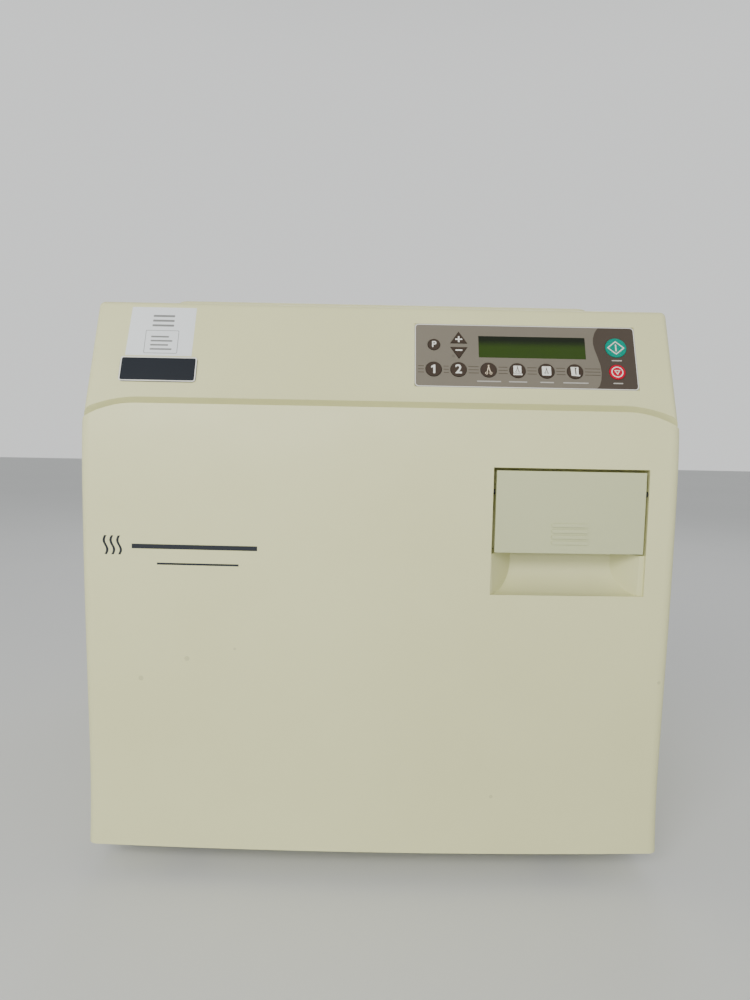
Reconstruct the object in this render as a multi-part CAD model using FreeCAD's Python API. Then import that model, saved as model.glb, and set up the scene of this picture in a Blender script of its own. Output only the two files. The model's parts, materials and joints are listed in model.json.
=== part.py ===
import FreeCAD, Part
import math
import os

# Benchtop steam steriliser with a drop-down door.  Millimetres, +Z up, the door faces -Y,
# +X is to the right of someone facing the door.  Origin: middle of the footprint, at the feet.

V = FreeCAD.Vector

# ---- overall ----
WIDTH = 451.0
DEPTH = 531.0
BODY_HEIGHT = 451.5          # floor to the top of the front hood
PLATEAU_RISE = 7.5          # reservoir cover above the hood's top
REAR_REACH = 8.0             # fittings behind the rear panel
SHEET = 1.5                  # folded steel sheet
MOULD = 3.0                  # moulded plastic wall

# ---- clearances ----
TOUCH_GAP = 0.2              # pieces that lie against each other
DOOR_GAP = 5.0               # door cover to the wrap behind it
HOOD_GAP = 0.3               # the door's front rim to the hood's underside
RUN_GAP = 0.05               # radial, pins and shafts in their bores
HOLE_GAP = 0.1               # radial, screws and fittings through sheet
KEY_GAP = 0.35               # round each key
FLAP_GAP = 2.4               # round the handle flap

# ---- feet and base ----
FOOT_HEIGHT = 12.0
FOOT_RADIUS = 14.0
FOOT_INSET_X = 42.0
FOOT_INSET_FRONT = 85.0
FOOT_INSET_REAR = 45.0
TRAY_FLANGE = 22.0

# ---- chamber ----
CHAMBER_RADIUS = 139.7
CHAMBER_WALL = 3.0
CHAMBER_LIFT = 35.0          # base sheet to the underside of the jacket
JACKET = 14.0
MOUTH_INSET = 58.0           # front of the door to the chamber's mouth
HEAD_GAP = 3.5
FLANGE_WIDTH = 13.0
FLANGE_THICK = 10.0

# ---- door ----
DOOR_BOTTOM = 24.0
DOOR_BACK_INSET = 46.5
CROWN = 5.5                  # the door's middle stands this far ahead of its sides
DOOR_CORNER = 8.0
RIM_STEP = 2.0               # the door's roof lies this far below its front rim
RIM_WIDTH = 3.0
ARCH_WIDTH = 42.0            # both top corners of the door and of the hood's lip turn down
DOOR_DROP = 12.5
HOOD_DROP = 10.5
# height above the door's bottom edge, and how far the face is set back there
DOOR_CURVE = [(0, 6.4), (12, 7.4), (40, 8.6), (74, 7.9), (114, 5.9), (164, 3.4), (219, 1.2), (274, 0.1), (294, 0.0),
              (319, 0.8), (347, 3.2)]
PLATE_THICK = 10.0
GASKET_THICK = 3.5
LINER_INSET = 43.0           # front of the door to the liner's back face
HINGE_INSET = 19.5           # hinge axis behind the front of the door
HINGE_Z = 32.0
HINGE_X = 150.0
PIN_RADIUS = 3.0
LUG_RADIUS = 6.5
LUG_WIDTH = 6.0
EAR_WIDTH = 4.0
EAR_GAP = 0.4
NOTCH_GAP = 2.5

# ---- hood ----
LIP_Z = 370.3
LIP_INSET = 16.0
HOOD_SLOPE = 22.0            # degrees from upright
HOOD_DEPTH = 60.7
LIP_BEVEL = 5.4
LIP_FLOOR = 4.5
HOOD_ROUND = 5.0
HOOD_EDGE = 5.0
BOARD_N = -11.0              # control board's back, off the hood's face
BADGE_X = -201.5
BADGE_WIDTH = 59.0
BADGE_HEIGHT = 21.0
BADGE_LIFT = 17.9

# ---- handle ----
GRIP_MARGIN = 23.7           # grip opening to the door's right side
GRIP_WIDTH = 117.4
GRIP_Z0 = 231.0
GRIP_HEIGHT = 96.2
WELL_DEPTH = 29.0
WELL_WALL = 2.0
WELL_TAPER = 20.0            # each side of the well narrows by this towards its back
TAPER_GAP = 1.5
FLAP_HEIGHT = 61.5
FLAP_TOP_GAP = 2.2
FLAP_PIVOT_INSET = 8.2
FLAP_PIVOT_DROP = 18.6       # below the top of the grip opening
FLAP_PIN = 2.0
RIB_COUNT = 4
RIB_LENGTH = 28.0
RIB_HEIGHT = 2.6
RIB_PITCH = 4.4
RIB_RAISE = 0.9

# ---- latch ----
LATCH_INSET = 25.5
LATCH_DROP = 20.0            # below the top of the door
LATCH_RADIUS = 4.0
HOOK_X = 191.0
HOOK_WIDTH = 6.0
HOOK_REACH = 28.0

# ---- keypad, measured on the sloping face ----
PAD_X0 = 25.2
PAD_WIDTH = 172.2
PAD_LAYOUT = 172.2           # pad width that the key places below are given for
PAD_HEIGHT = 54.4
PAD_LIFT = 18.3              # lip to the pad's lower edge
PAD_THICK = 1.0
PAD_CORNER = 4.0
PAD_EDGE = 4.0               # ledge of hood behind the pad's rim
KEY_RAISE = 0.3
KEY_THICK = 1.6
SCREEN = (49.9, 10.0, 83.0, 18.5)            # left, top, width, height on the pad
ROUND_KEYS = [("key_p", 15.0, 18.2, 4.7), ("key_1", 14.7, 39.4, 6.1), ("key_2", 33.9, 39.4, 6.1),
              ("key_unwrapped", 57.1, 39.4, 6.1), ("key_pouches", 79.4, 39.4, 6.1),
              ("key_packs", 101.7, 39.4, 6.1), ("key_handpieces", 123.8, 39.4, 6.1),
              ("key_start", 156.8, 18.2, 8.2), ("key_stop", 156.4, 39.1, 6.2)]
ARROW_KEYS = [("key_up", 34.4, 11.8, 1), ("key_down", 34.4, 25.0, -1)]
ARROW_WIDTH = 12.6
ARROW_HEIGHT = 9.4

# ---- pieces behind the door and at the back ----
STUD_RADIUS = 11.0
BRIDGE_HALF = 160.0
BRIDGE_HEIGHT = 36.0
BRIDGE_DEPTH = 14.0
CATCH_GAP = 1.5
WRAP_ROUND = 8.0
VENT_COUNT = 6
VENT_Z = 60.0
VENT_PITCH = 11.0
VENT_HEIGHT = 4.5
VENT_LENGTH = 70.0
VENT_INSET = 30.0
INLET_X = -165.0
INLET_Z = 50.0
FUSE_RADIUS = 7.0
FUSE_X = (-118.0, -96.0)
RELIEF_X = 150.0
RELIEF_Z = 345.0
RELIEF_RADIUS = 9.0
RING_RADIUS = 11.0
RING_WIRE = 1.2

# ---- trays, tank ----
RACK_SHARE = 92.0 / 139.7     # rack's half width to the chamber's radius
RACK_SHEET = 1.5
LEDGE = 8.0
TRAY_COUNT = 3
PITCH_SHARE = 55.0 / 139.7    # tray spacing to the chamber's radius
RACK_MARGIN_SHARE = 22.0 / 139.7
TRAY_RIM = 18.0
TRAY_SHEET = 1.2
TRAY_SETBACK = 18.0
TIE_WIDTH = 12.0
TRAY_GAP = 1.0
HEATER_RADIUS = 4.0
HEATER_SPREAD = 45.0
TANK_HALF = 185.0
TANK_FRONT_INSET = 160.0
TANK_LENGTH = 300.0
TANK_WALL = 3.0
TANK_GAP = 4.0
NECK_RADIUS = 24.0
NECK_INSET = 210.0           # front of the door to the middle of the filler neck
NECK_BORE = 21.5
PLATEAU_HALF = 174.0
PLATEAU_LENGTH = 290.0
LID_WIDTH = 86.0
LID_LENGTH = 74.0
LID_GAP = 0.8
LID_PIN = 1.5
LID_PIN_INSET = 6.0          # hinge line ahead of the lid's back edge
LID_PIN_DEPTH = 3.2          # hinge line below the lid's face
PIPE_RADIUS = 5.0
PIPE_Y = 120.0
SADDLE_HALF = 118.0
SCREW_RADIUS = 2.0
SCREW_HEAD = 4.0
SCREW_HEAD_HEIGHT = 2.2

# ---- derived places ----
HALF = WIDTH / 2
FRONT = -DEPTH / 2
BACK = DEPTH / 2
BASE_TOP = FOOT_HEIGHT + SHEET
JACKET_RADIUS = CHAMBER_RADIUS + CHAMBER_WALL + TOUCH_GAP + JACKET
AXIS_Z = BASE_TOP + CHAMBER_LIFT + JACKET_RADIUS
MOUTH = FRONT + MOUTH_INSET
PANEL_OUT = BACK - REAR_REACH
PANEL_IN = PANEL_OUT - SHEET
HEAD_IN = PANEL_IN - HEAD_GAP - CHAMBER_WALL
FLANGE_RADIUS = CHAMBER_RADIUS + CHAMBER_WALL + FLANGE_WIDTH
WRAP_HALF = HALF - MOULD - TOUCH_GAP
WRAP_TOP = BODY_HEIGHT - MOULD - TOUCH_GAP
DOOR_BACK = FRONT + DOOR_BACK_INSET
WRAP_FRONT = DOOR_BACK + DOOR_GAP
DOOR_TOP = LIP_Z - HOOD_GAP
LINER_BACK = FRONT + LINER_INSET
LINER_FRONT = LINER_BACK - SHEET
HINGE_Y = FRONT + HINGE_INSET
BULKHEAD = MOUTH + 3.0
RACK_HALF = RACK_SHARE * CHAMBER_RADIUS
TRAY_PITCH = PITCH_SHARE * CHAMBER_RADIUS
RACK_MARGIN = RACK_MARGIN_SHARE * CHAMBER_RADIUS
KEY_SPREAD = PAD_WIDTH / PAD_LAYOUT
LIP_Y = FRONT + LIP_INSET
SLOPE = math.radians(HOOD_SLOPE)
GRIP_TOP = GRIP_Z0 + GRIP_HEIGHT
GRIP_X1 = HALF - GRIP_MARGIN
GRIP_X0 = GRIP_X1 - GRIP_WIDTH
FLAP_PIVOT_Y = FRONT + FLAP_PIVOT_INSET
FLAP_PIVOT_Z = GRIP_TOP - FLAP_PIVOT_DROP
LATCH_Y = FRONT + LATCH_INSET
LATCH_Z = DOOR_TOP - LATCH_DROP
NECK_Y = FRONT + NECK_INSET
TANK_Z = AXIS_Z + JACKET_RADIUS + 3
BIG = 2 * (WIDTH + DEPTH + BODY_HEIGHT)


# ---- shapes ----
def box(x0, x1, y0, y1, z0, z1):
    return Part.makeBox(x1 - x0, y1 - y0, z1 - z0, V(x0, y0, z0))


def rod_x(x0, x1, y, z, radius):
    return Part.makeCylinder(radius, x1 - x0, V(x0, y, z), V(1, 0, 0))


def rod_y(x, y0, y1, z, radius):
    return Part.makeCylinder(radius, y1 - y0, V(x, y0, z), V(0, 1, 0))


def rod_z(x, y, z0, z1, radius):
    return Part.makeCylinder(radius, z1 - z0, V(x, y, z0), V(0, 0, 1))


def tube_y(x, y0, y1, z, outer, inner):
    return rod_y(x, y0, y1, z, outer).cut(rod_y(x, y0 - 1, y1 + 1, z, inner))


def prism_x(outline, x0, x1):
    """Extrude a closed (y, z) outline from x0 to x1."""
    points = [V(x0, y, z) for y, z in outline]
    face = Part.Face(Part.makePolygon(points + points[:1]))
    return face.extrude(V(x1 - x0, 0, 0))


def fuse(shapes):
    whole = shapes[0]
    for shape in shapes[1:]:
        whole = whole.fuse(shape)
    return whole.removeSplitter()


def cut_all(shape, tools):
    for tool in tools:
        shape = shape.cut(tool)
    return shape


def mirrored(shape):
    return shape.mirror(V(0, 0, 0), V(1, 0, 0))


def both_sides(shape):
    return [shape, mirrored(shape)]


def edges_where(shape, test):
    return [edge for edge in shape.Edges if test(edge)]


def along(edge, axis):
    """True where a straight edge runs along an axis."""
    if len(edge.Vertexes) != 2:
        return False
    step = edge.Vertexes[1].Point.sub(edge.Vertexes[0].Point)
    return abs(step.dot(axis)) > 0.999 * step.Length


def export(name, shapes):
    solids = []
    for shape in shapes if isinstance(shapes, list) else [shapes]:
        solids += shape.Solids
    target = solids[0] if len(solids) == 1 else Part.makeCompound(solids)
    target.exportStep("parts/%s.step" % name)


# ---- door skin ----
def door_section(x, lift, inset):
    """Closed side outline of the door at x; inset moves every wall inwards, lift moves the face out."""
    set_back = CROWN * (x / HALF) ** 2 + inset - lift
    points = [V(x, FRONT + depth + set_back, DOOR_BOTTOM + height) for height, depth in DOOR_CURVE]
    curve = Part.BSplineCurve()
    curve.interpolate(points)
    back = DOOR_BACK + inset
    top = points[-1]
    bottom = points[0]
    corners = [top, V(x, back, top.z), V(x, back, bottom.z), bottom]
    edges = [curve.toShape()] + [Part.makeLine(a, b) for a, b in zip(corners, corners[1:])]
    return Part.Wire(edges)


def door_block(lift=0.0, inset=0.0, roof=DOOR_TOP):
    """The door's full outer form, or its cavity when inset by the wall."""
    reach = HALF - inset
    stations = [-1.0, -0.5, 0.0, 0.5, 1.0]
    block = Part.makeLoft([door_section(reach * share, lift, inset) for share in stations], True, False)
    trim = box(-BIG, BIG, -BIG, BIG, DOOR_BOTTOM + inset, DOOR_TOP)
    return block.common(trim).cut(arch(roof, DOOR_DROP))


def arch(level, drop):
    """Everything above a line that is level in the middle and turns down by drop at both sides."""
    radius = (ARCH_WIDTH ** 2 + drop ** 2) / (2 * drop)
    start = HALF - ARCH_WIDTH
    half_turn = math.asin(ARCH_WIDTH / radius) / 2
    mid = V(start + radius * math.sin(half_turn), 0, level - radius * (1 - math.cos(half_turn)))
    end = V(HALF, 0, level - drop)
    outside = V(HALF + BIG, 0, end.z)
    roof = V(HALF + BIG, 0, level + BIG)

    def left(point):
        return V(-point.x, 0, point.z)

    inner = V(start, 0, level)
    edges = [Part.makeLine(left(inner), inner), Part.Arc(inner, mid, end).toShape(),
             Part.makeLine(end, outside), Part.makeLine(outside, roof), Part.makeLine(roof, left(roof)),
             Part.makeLine(left(roof), left(outside)), Part.makeLine(left(outside), left(end)),
             Part.Arc(left(end), left(mid), left(inner)).toShape()]
    face = Part.Face(Part.Wire(edges))
    face.translate(V(0, -BIG, 0))
    return face.extrude(V(0, 2 * BIG, 0))


def rounded_door():
    block = door_block()
    tall = edges_where(block, lambda e: e.BoundBox.ZLength > 0.6 * (DOOR_TOP - DOOR_BOTTOM)
                       and e.BoundBox.YMin < DOOR_BACK - 5)
    return block.makeFillet(DOOR_CORNER, tall)


def door_cavity():
    return door_block(inset=MOULD, roof=DOOR_TOP - RIM_STEP - MOULD)


def door_skin():
    """Moulded shell, open at the back, whose roof steps down behind a front rim."""
    step = door_block(lift=-RIM_WIDTH).common(arch(DOOR_TOP - RIM_STEP, DOOR_DROP))
    return rounded_door().cut(door_cavity()).cut(step)


# ---- door ----
def grip_opening(y0, y1):
    return box(GRIP_X0, GRIP_X1, y0, y1, GRIP_Z0, GRIP_TOP)


def hinge_notch(side):
    """Room for the bracket ears as the door swings down around them."""
    half = LUG_WIDTH / 2 + EAR_GAP + EAR_WIDTH + NOTCH_GAP
    return box(side * HINGE_X - half, side * HINGE_X + half, HINGE_Y - LUG_RADIUS - NOTCH_GAP,
               DOOR_BACK + 1, DOOR_BOTTOM - 1, HINGE_Z + LUG_RADIUS + NOTCH_GAP)


def make_door_cover():
    pin_room = rod_x(GRIP_X0 - WELL_WALL - 1, GRIP_X1 + WELL_WALL + 1, FLAP_PIVOT_Y, FLAP_PIVOT_Z,
                     FLAP_PIN + RUN_GAP)
    return cut_all(door_skin(), [grip_opening(FRONT - 5, FRONT + WELL_DEPTH), pin_room]
                   + [hinge_notch(side) for side in (-1, 1)])


def well_form(inset):
    """Side outline of the finger well: a quarter-round floor that sweeps up to the back wall."""
    back = FRONT + WELL_DEPTH + WELL_WALL - inset
    floor = GRIP_Z0 - WELL_WALL + inset
    roof = GRIP_TOP + WELL_WALL - inset
    radius = WELL_DEPTH - MOULD - 2 * WELL_WALL
    x0 = GRIP_X0 - WELL_WALL + inset
    x1 = GRIP_X1 + WELL_WALL - inset
    front = FRONT - 5
    bend = V(x0, back - radius, floor + radius)
    mid = bend + V(0, radius * math.sin(math.pi / 4), -radius * math.cos(math.pi / 4))
    low = V(x0, back - radius, floor)
    high = V(x0, back, floor + radius)
    edges = [Part.makeLine(V(x0, front, floor), low), Part.Arc(low, mid, high).toShape(),
             Part.makeLine(high, V(x0, back, roof)), Part.makeLine(V(x0, back, roof), V(x0, front, roof)),
             Part.makeLine(V(x0, front, roof), V(x0, front, floor))]
    return Part.Face(Part.Wire(edges)).extrude(V(x1 - x0, 0, 0))


def well_taper(x, way):
    """Wedge that narrows the lower well from its mouth at x towards its back."""
    front = FRONT + MOULD
    back = FRONT + WELL_DEPTH + WELL_WALL / 2
    points = [V(x - way, front, 0), V(x, front, 0), V(x + way * WELL_TAPER, back, 0), V(x - way, back, 0),
              V(x - way, front, 0)]
    wedge = Part.Face(Part.makePolygon(points)).extrude(V(0, 0, BIG))
    flap_foot = GRIP_TOP - FLAP_TOP_GAP - FLAP_HEIGHT
    return wedge.common(well_form(WELL_WALL / 2)).common(box(-BIG, BIG, -BIG, BIG, 0, flap_foot - TAPER_GAP))


def make_handle_well():
    tapers = [well_taper(GRIP_X0, 1), well_taper(GRIP_X1, -1)]
    shell = fuse([well_form(0).cut(well_form(WELL_WALL))] + tapers).common(door_cavity())
    return shell.cut(rod_x(GRIP_X0 - BIG, GRIP_X1 + BIG, FLAP_PIVOT_Y, FLAP_PIVOT_Z, FLAP_PIN))


def make_handle_pin():
    return rod_x(GRIP_X0 - WELL_WALL, GRIP_X1 + WELL_WALL, FLAP_PIVOT_Y, FLAP_PIVOT_Z, FLAP_PIN)


def grip_ribs():
    """Rounded bars raised on the flap's face."""
    middle = GRIP_X0 + GRIP_WIDTH / 2
    lowest = GRIP_TOP - FLAP_TOP_GAP - FLAP_HEIGHT + 8
    half = RIB_LENGTH / 2 - RIB_HEIGHT / 2
    bars = []
    for row in range(RIB_COUNT):
        z = lowest + row * RIB_PITCH
        y0, y1 = FRONT - 5, FRONT + CROWN + MOULD
        bars += [box(middle - half, middle + half, y0, y1, z - RIB_HEIGHT / 2, z + RIB_HEIGHT / 2),
                 rod_y(middle - half, y0, y1, z, RIB_HEIGHT / 2),
                 rod_y(middle + half, y0, y1, z, RIB_HEIGHT / 2)]
    return fuse(bars).common(door_block(lift=RIB_RAISE)).cut(door_block(inset=MOULD / 2))


def flap_cheek(x0, x1):
    """Side web of the flap, with the bore for its pin."""
    bottom = FLAP_PIVOT_Z - FLAP_PIN - 6
    web = prism_x([(FRONT - 1, bottom - 14), (FLAP_PIVOT_Y + 2 * FLAP_PIN, FLAP_PIVOT_Z - 2),
                   (FLAP_PIVOT_Y + 2 * FLAP_PIN, FLAP_PIVOT_Z + 2), (FRONT - 1, FLAP_PIVOT_Z + 12)], x0, x1)
    return web.common(door_block(inset=MOULD / 2))


def make_handle_flap():
    x0 = GRIP_X0 + FLAP_GAP
    x1 = GRIP_X1 - FLAP_GAP
    top = GRIP_TOP - FLAP_TOP_GAP
    window = box(x0, x1, FRONT - 5, FRONT + CROWN + MOULD + 1, top - FLAP_HEIGHT, top)
    leaf = door_skin().common(window)
    cheeks = [flap_cheek(x0, x0 + MOULD), flap_cheek(x1 - MOULD, x1)]
    bore = rod_x(x0 - 1, x1 + 1, FLAP_PIVOT_Y, FLAP_PIVOT_Z, FLAP_PIN + RUN_GAP)
    return fuse([leaf, grip_ribs()] + cheeks).cut(bore)


def latch_tab(x):
    """Bearing tab bent forward from the liner, with the latch shaft's bore."""
    return box(x, x + 2 * SHEET, LATCH_Y - LATCH_RADIUS - 4, LINER_FRONT,
               LATCH_Z - LATCH_RADIUS - 4, LATCH_Z + LATCH_RADIUS + 4)


def make_door_liner():
    edge = HALF - MOULD - TOUCH_GAP
    sheet = box(-edge, edge, LINER_FRONT, LINER_BACK, DOOR_BOTTOM + MOULD + TOUCH_GAP, BIG)
    sheet = sheet.cut(arch(DOOR_TOP - RIM_STEP - MOULD - TOUCH_GAP, DOOR_DROP))
    tabs = [latch_tab(120), latch_tab(-120)]
    half = HOOK_WIDTH / 2 + 3
    slots = [box(side * HOOK_X - half, side * HOOK_X + half, LINER_FRONT - 1, LINER_BACK + 1,
                 LATCH_Z - 14, BIG) for side in (-1, 1)]
    cuts = [hinge_notch(-1), hinge_notch(1), rod_y(0, LINER_FRONT - 1, LINER_BACK + 1, AXIS_Z, STUD_RADIUS + HOLE_GAP),
            rod_x(-HALF, HALF, LATCH_Y, LATCH_Z, LATCH_RADIUS + RUN_GAP)]
    return cut_all(fuse([sheet] + tabs), slots + cuts)


def make_pressure_plate():
    plate = rod_y(0, LINER_BACK, LINER_BACK + PLATE_THICK, AXIS_Z, FLANGE_RADIUS - 2)
    dish = rod_y(0, LINER_BACK + PLATE_THICK / 2, LINER_BACK + PLATE_THICK + 1, AXIS_Z, CHAMBER_RADIUS - 12)
    return plate.cut(dish)


def make_plate_gasket():
    start = LINER_BACK + PLATE_THICK
    return tube_y(0, start, start + GASKET_THICK, AXIS_Z, CHAMBER_RADIUS + CHAMBER_WALL + 6, CHAMBER_RADIUS - 6)


def make_door_bridge():
    half_z = BRIDGE_HEIGHT / 2
    bar = box(-BRIDGE_HALF, BRIDGE_HALF, LINER_FRONT - BRIDGE_DEPTH, LINER_FRONT, AXIS_Z - half_z, AXIS_Z + half_z)
    trough = box(-BRIDGE_HALF - 1, BRIDGE_HALF + 1, LINER_FRONT - BRIDGE_DEPTH - 1, LINER_FRONT - MOULD,
                 AXIS_Z - half_z + MOULD, AXIS_Z + half_z - MOULD)
    stud = rod_y(0, LINER_FRONT - BRIDGE_DEPTH, LINER_BACK, AXIS_Z, STUD_RADIUS)
    return fuse([bar.cut(trough), stud])


def make_hinge_lug(side):
    x0 = side * HINGE_X - LUG_WIDTH / 2
    x1 = x0 + LUG_WIDTH
    strap_top = HINGE_Z + 95
    web = prism_x([(HINGE_Y - LUG_RADIUS * 0.8, HINGE_Z + LUG_RADIUS * 0.6), (HINGE_Y, HINGE_Z - 1),
                   (HINGE_Y + LUG_RADIUS * 0.9, HINGE_Z - 1), (LINER_FRONT, HINGE_Z + 16),
                   (LINER_FRONT, strap_top), (LINER_FRONT - 5, strap_top), (LINER_FRONT - 8, HINGE_Z + 40)], x0, x1)
    lug = fuse([rod_x(x0, x1, HINGE_Y, HINGE_Z, LUG_RADIUS), web])
    return lug.cut(rod_x(x0 - 1, x1 + 1, HINGE_Y, HINGE_Z, PIN_RADIUS + RUN_GAP))


def make_latch_shaft():
    return rod_x(-HOOK_X - HOOK_WIDTH / 2, HOOK_X + HOOK_WIDTH / 2, LATCH_Y, LATCH_Z, LATCH_RADIUS)


def make_latch_hook(side):
    """Lever whose nose stops just short of its catch."""
    x0 = side * HOOK_X - HOOK_WIDTH / 2
    x1 = x0 + HOOK_WIDTH
    tip = LATCH_Y + HOOK_REACH
    arm = prism_x([(LATCH_Y - 6, LATCH_Z - 5), (tip, LATCH_Z - 9), (tip, LATCH_Z + 1), (tip - 6, LATCH_Z + 4),
                   (LATCH_Y - 6, LATCH_Z + 5)], x0, x1)
    hub = rod_x(x0, x1, LATCH_Y, LATCH_Z, LATCH_RADIUS + 4)
    return fuse([arm, hub]).cut(rod_x(x0 - 1, x1 + 1, LATCH_Y, LATCH_Z, LATCH_RADIUS))


# ---- frame and covers ----
def make_base_tray():
    half = WRAP_HALF - SHEET - TOUCH_GAP
    front = BULKHEAD
    back = PANEL_IN - TOUCH_GAP
    block = box(-half, half, front, back, FOOT_HEIGHT, FOOT_HEIGHT + TRAY_FLANGE)
    hollow = box(-half + SHEET, half - SHEET, front + SHEET, back - SHEET, BASE_TOP, FOOT_HEIGHT + BIG)
    return block.cut(hollow)


def make_feet():
    feet = []
    for y in (FRONT + FOOT_INSET_FRONT, BACK - FOOT_INSET_REAR):
        foot = Part.makeCone(FOOT_RADIUS - 2, FOOT_RADIUS, FOOT_HEIGHT, V(HALF - FOOT_INSET_X, y, 0), V(0, 0, 1))
        feet += both_sides(foot)
    return feet


def side_screws():
    """(y, z) of the screws that hold the wrap's sides to the base tray."""
    z = FOOT_HEIGHT + TRAY_FLANGE * 0.6
    return [(y, z) for y in (WRAP_FRONT + 40, 0, PANEL_IN - 40)]


def rear_screws():
    """(x, z) of the screws round the rear panel."""
    x = WRAP_HALF - 14
    return [(side * x, z) for side in (-1, 1) for z in (60, 220, 400)]


def make_wrap_cover():
    outer = box(-WRAP_HALF, WRAP_HALF, WRAP_FRONT, PANEL_OUT, FOOT_HEIGHT + SHEET, WRAP_TOP)
    long_edges = edges_where(outer, lambda e: along(e, V(0, 1, 0)) and e.BoundBox.ZMin > WRAP_TOP - 1)
    outer = outer.makeFillet(WRAP_ROUND, long_edges)
    inner = box(-WRAP_HALF + SHEET, WRAP_HALF - SHEET, WRAP_FRONT - 1, PANEL_OUT + 1, 0, WRAP_TOP - SHEET)
    long_edges = edges_where(inner, lambda e: along(e, V(0, 1, 0)) and e.BoundBox.ZMin > WRAP_TOP - SHEET - 1)
    inner = inner.makeFillet(WRAP_ROUND - SHEET, long_edges)
    holes = [rod_x(-BIG, BIG, y, z, SCREW_RADIUS + HOLE_GAP) for y, z in side_screws()]
    neck = rod_z(0, NECK_Y, WRAP_TOP - 5, WRAP_TOP + 5, NECK_RADIUS + TOUCH_GAP)
    slots = []
    for row in range(VENT_COUNT):
        z = VENT_Z + row * VENT_PITCH
        slots += [box(-BIG, BIG, PANEL_IN - VENT_INSET - VENT_LENGTH, PANEL_IN - VENT_INSET, z, z + VENT_HEIGHT)]
    return cut_all(outer.cut(inner), holes + [neck] + slots)


def make_rear_panel():
    half = WRAP_HALF - SHEET - TOUCH_GAP
    sheet = box(-half, half, PANEL_IN, PANEL_OUT, FOOT_HEIGHT, WRAP_TOP - SHEET - TOUCH_GAP)
    corners = edges_where(sheet, lambda e: along(e, V(0, 1, 0)) and e.BoundBox.ZMin > WRAP_TOP - SHEET - 2)
    sheet = sheet.makeFillet(WRAP_ROUND, corners)
    y0, y1 = PANEL_IN - 1, PANEL_OUT + 1
    holes = [rod_y(x, y0, y1, z, SCREW_RADIUS + HOLE_GAP) for x, z in rear_screws()]
    holes += [box(INLET_X - 25 - HOLE_GAP, INLET_X + 25 + HOLE_GAP, y0, y1, INLET_Z - 13 - HOLE_GAP, INLET_Z + 13 + HOLE_GAP)]
    holes += [rod_y(x, y0, y1, INLET_Z, FUSE_RADIUS + HOLE_GAP) for x in FUSE_X]
    holes += [rod_y(RELIEF_X, y0, y1, RELIEF_Z, RELIEF_RADIUS + HOLE_GAP)]
    for row in range(VENT_COUNT):
        z = VENT_Z + row * VENT_PITCH
        holes += [box(-VENT_LENGTH, VENT_LENGTH, y0, y1, z, z + VENT_HEIGHT)]
    return cut_all(sheet, holes)


def make_bulkhead():
    half = WRAP_HALF - SHEET - TOUCH_GAP
    bottom = FOOT_HEIGHT + TRAY_FLANGE + TOUCH_GAP
    sheet = box(-half, half, BULKHEAD, BULKHEAD + SHEET, bottom, WRAP_TOP - SHEET - TOUCH_GAP)
    corners = edges_where(sheet, lambda e: along(e, V(0, 1, 0)) and e.BoundBox.ZMin > WRAP_TOP - SHEET - 2)
    sheet = sheet.makeFillet(WRAP_ROUND, corners)
    return sheet.cut(rod_y(0, BULKHEAD - 1, BULKHEAD + SHEET + 1, AXIS_Z, FLANGE_RADIUS + TOUCH_GAP))


def make_catch(side):
    x0 = side * HOOK_X - HOOK_WIDTH
    tip = LATCH_Y + HOOK_REACH + CATCH_GAP
    return box(x0, x0 + 2 * HOOK_WIDTH, tip, BULKHEAD, LATCH_Z - 12, LATCH_Z + 2)


def make_hinge_bracket(side):
    """Two ears that carry the hinge pin either side of the door's lug, on a foot that sits on the tray."""
    gap = LUG_WIDTH / 2 + EAR_GAP
    middle = side * HINGE_X
    pieces = [box(middle - gap - EAR_WIDTH, middle + gap + EAR_WIDTH, BULKHEAD - 4, BULKHEAD,
                  FOOT_HEIGHT + 2, HINGE_Z + 6)]
    for x0 in (middle - gap - EAR_WIDTH, middle + gap):
        x1 = x0 + EAR_WIDTH
        pieces += [box(x0, x1, HINGE_Y, BULKHEAD, HINGE_Z - LUG_RADIUS, HINGE_Z + LUG_RADIUS - 1),
                   rod_x(x0, x1, HINGE_Y, HINGE_Z, LUG_RADIUS)]
    return fuse(pieces).cut(rod_x(middle - 30, middle + 30, HINGE_Y, HINGE_Z, PIN_RADIUS))


def make_hinge_pin(side):
    reach = LUG_WIDTH / 2 + EAR_GAP + EAR_WIDTH + 1
    return rod_x(side * HINGE_X - reach, side * HINGE_X + reach, HINGE_Y, HINGE_Z, PIN_RADIUS)


# ---- hood and keypad ----
def on_slope(shape):
    """Lay a shape drawn flat (x, distance up the slope, height off the face) onto the hood's face."""
    placed = shape.copy()
    placed.rotate(V(0, 0, 0), V(1, 0, 0), 90 - HOOD_SLOPE)
    placed.translate(V(0, LIP_Y, LIP_Z))
    return placed


def slope_y(z):
    return LIP_Y + (z - LIP_Z) * math.tan(SLOPE)


def hood_form(inset, roof_round):
    """Side outline of the hood, from below its lip up the slope and back over the top."""
    bottom = LIP_Z - HOOD_DROP - 20
    shift = inset / math.cos(SLOPE)
    top = BODY_HEIGHT - inset
    back = LIP_Y + HOOD_DEPTH + (1 if inset else 0)
    outline = [(slope_y(bottom) + shift, bottom), (slope_y(top) + shift, top), (back, top), (back, bottom)]
    block = prism_x(outline, -HALF + inset, HALF - inset)
    ridge = edges_where(block, lambda e: along(e, V(1, 0, 0)) and e.BoundBox.ZMin > top - 1
                        and e.BoundBox.YMax < back - 1)
    return block.makeFillet(roof_round, ridge)


def pad_cut(margin, n0, n1):
    """A block through the hood's face behind the keypad."""
    return on_slope(box(PAD_X0 + margin, PAD_X0 + PAD_WIDTH - margin, PAD_LIFT + margin,
                        PAD_LIFT + PAD_HEIGHT - margin, n0, n1))


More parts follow.
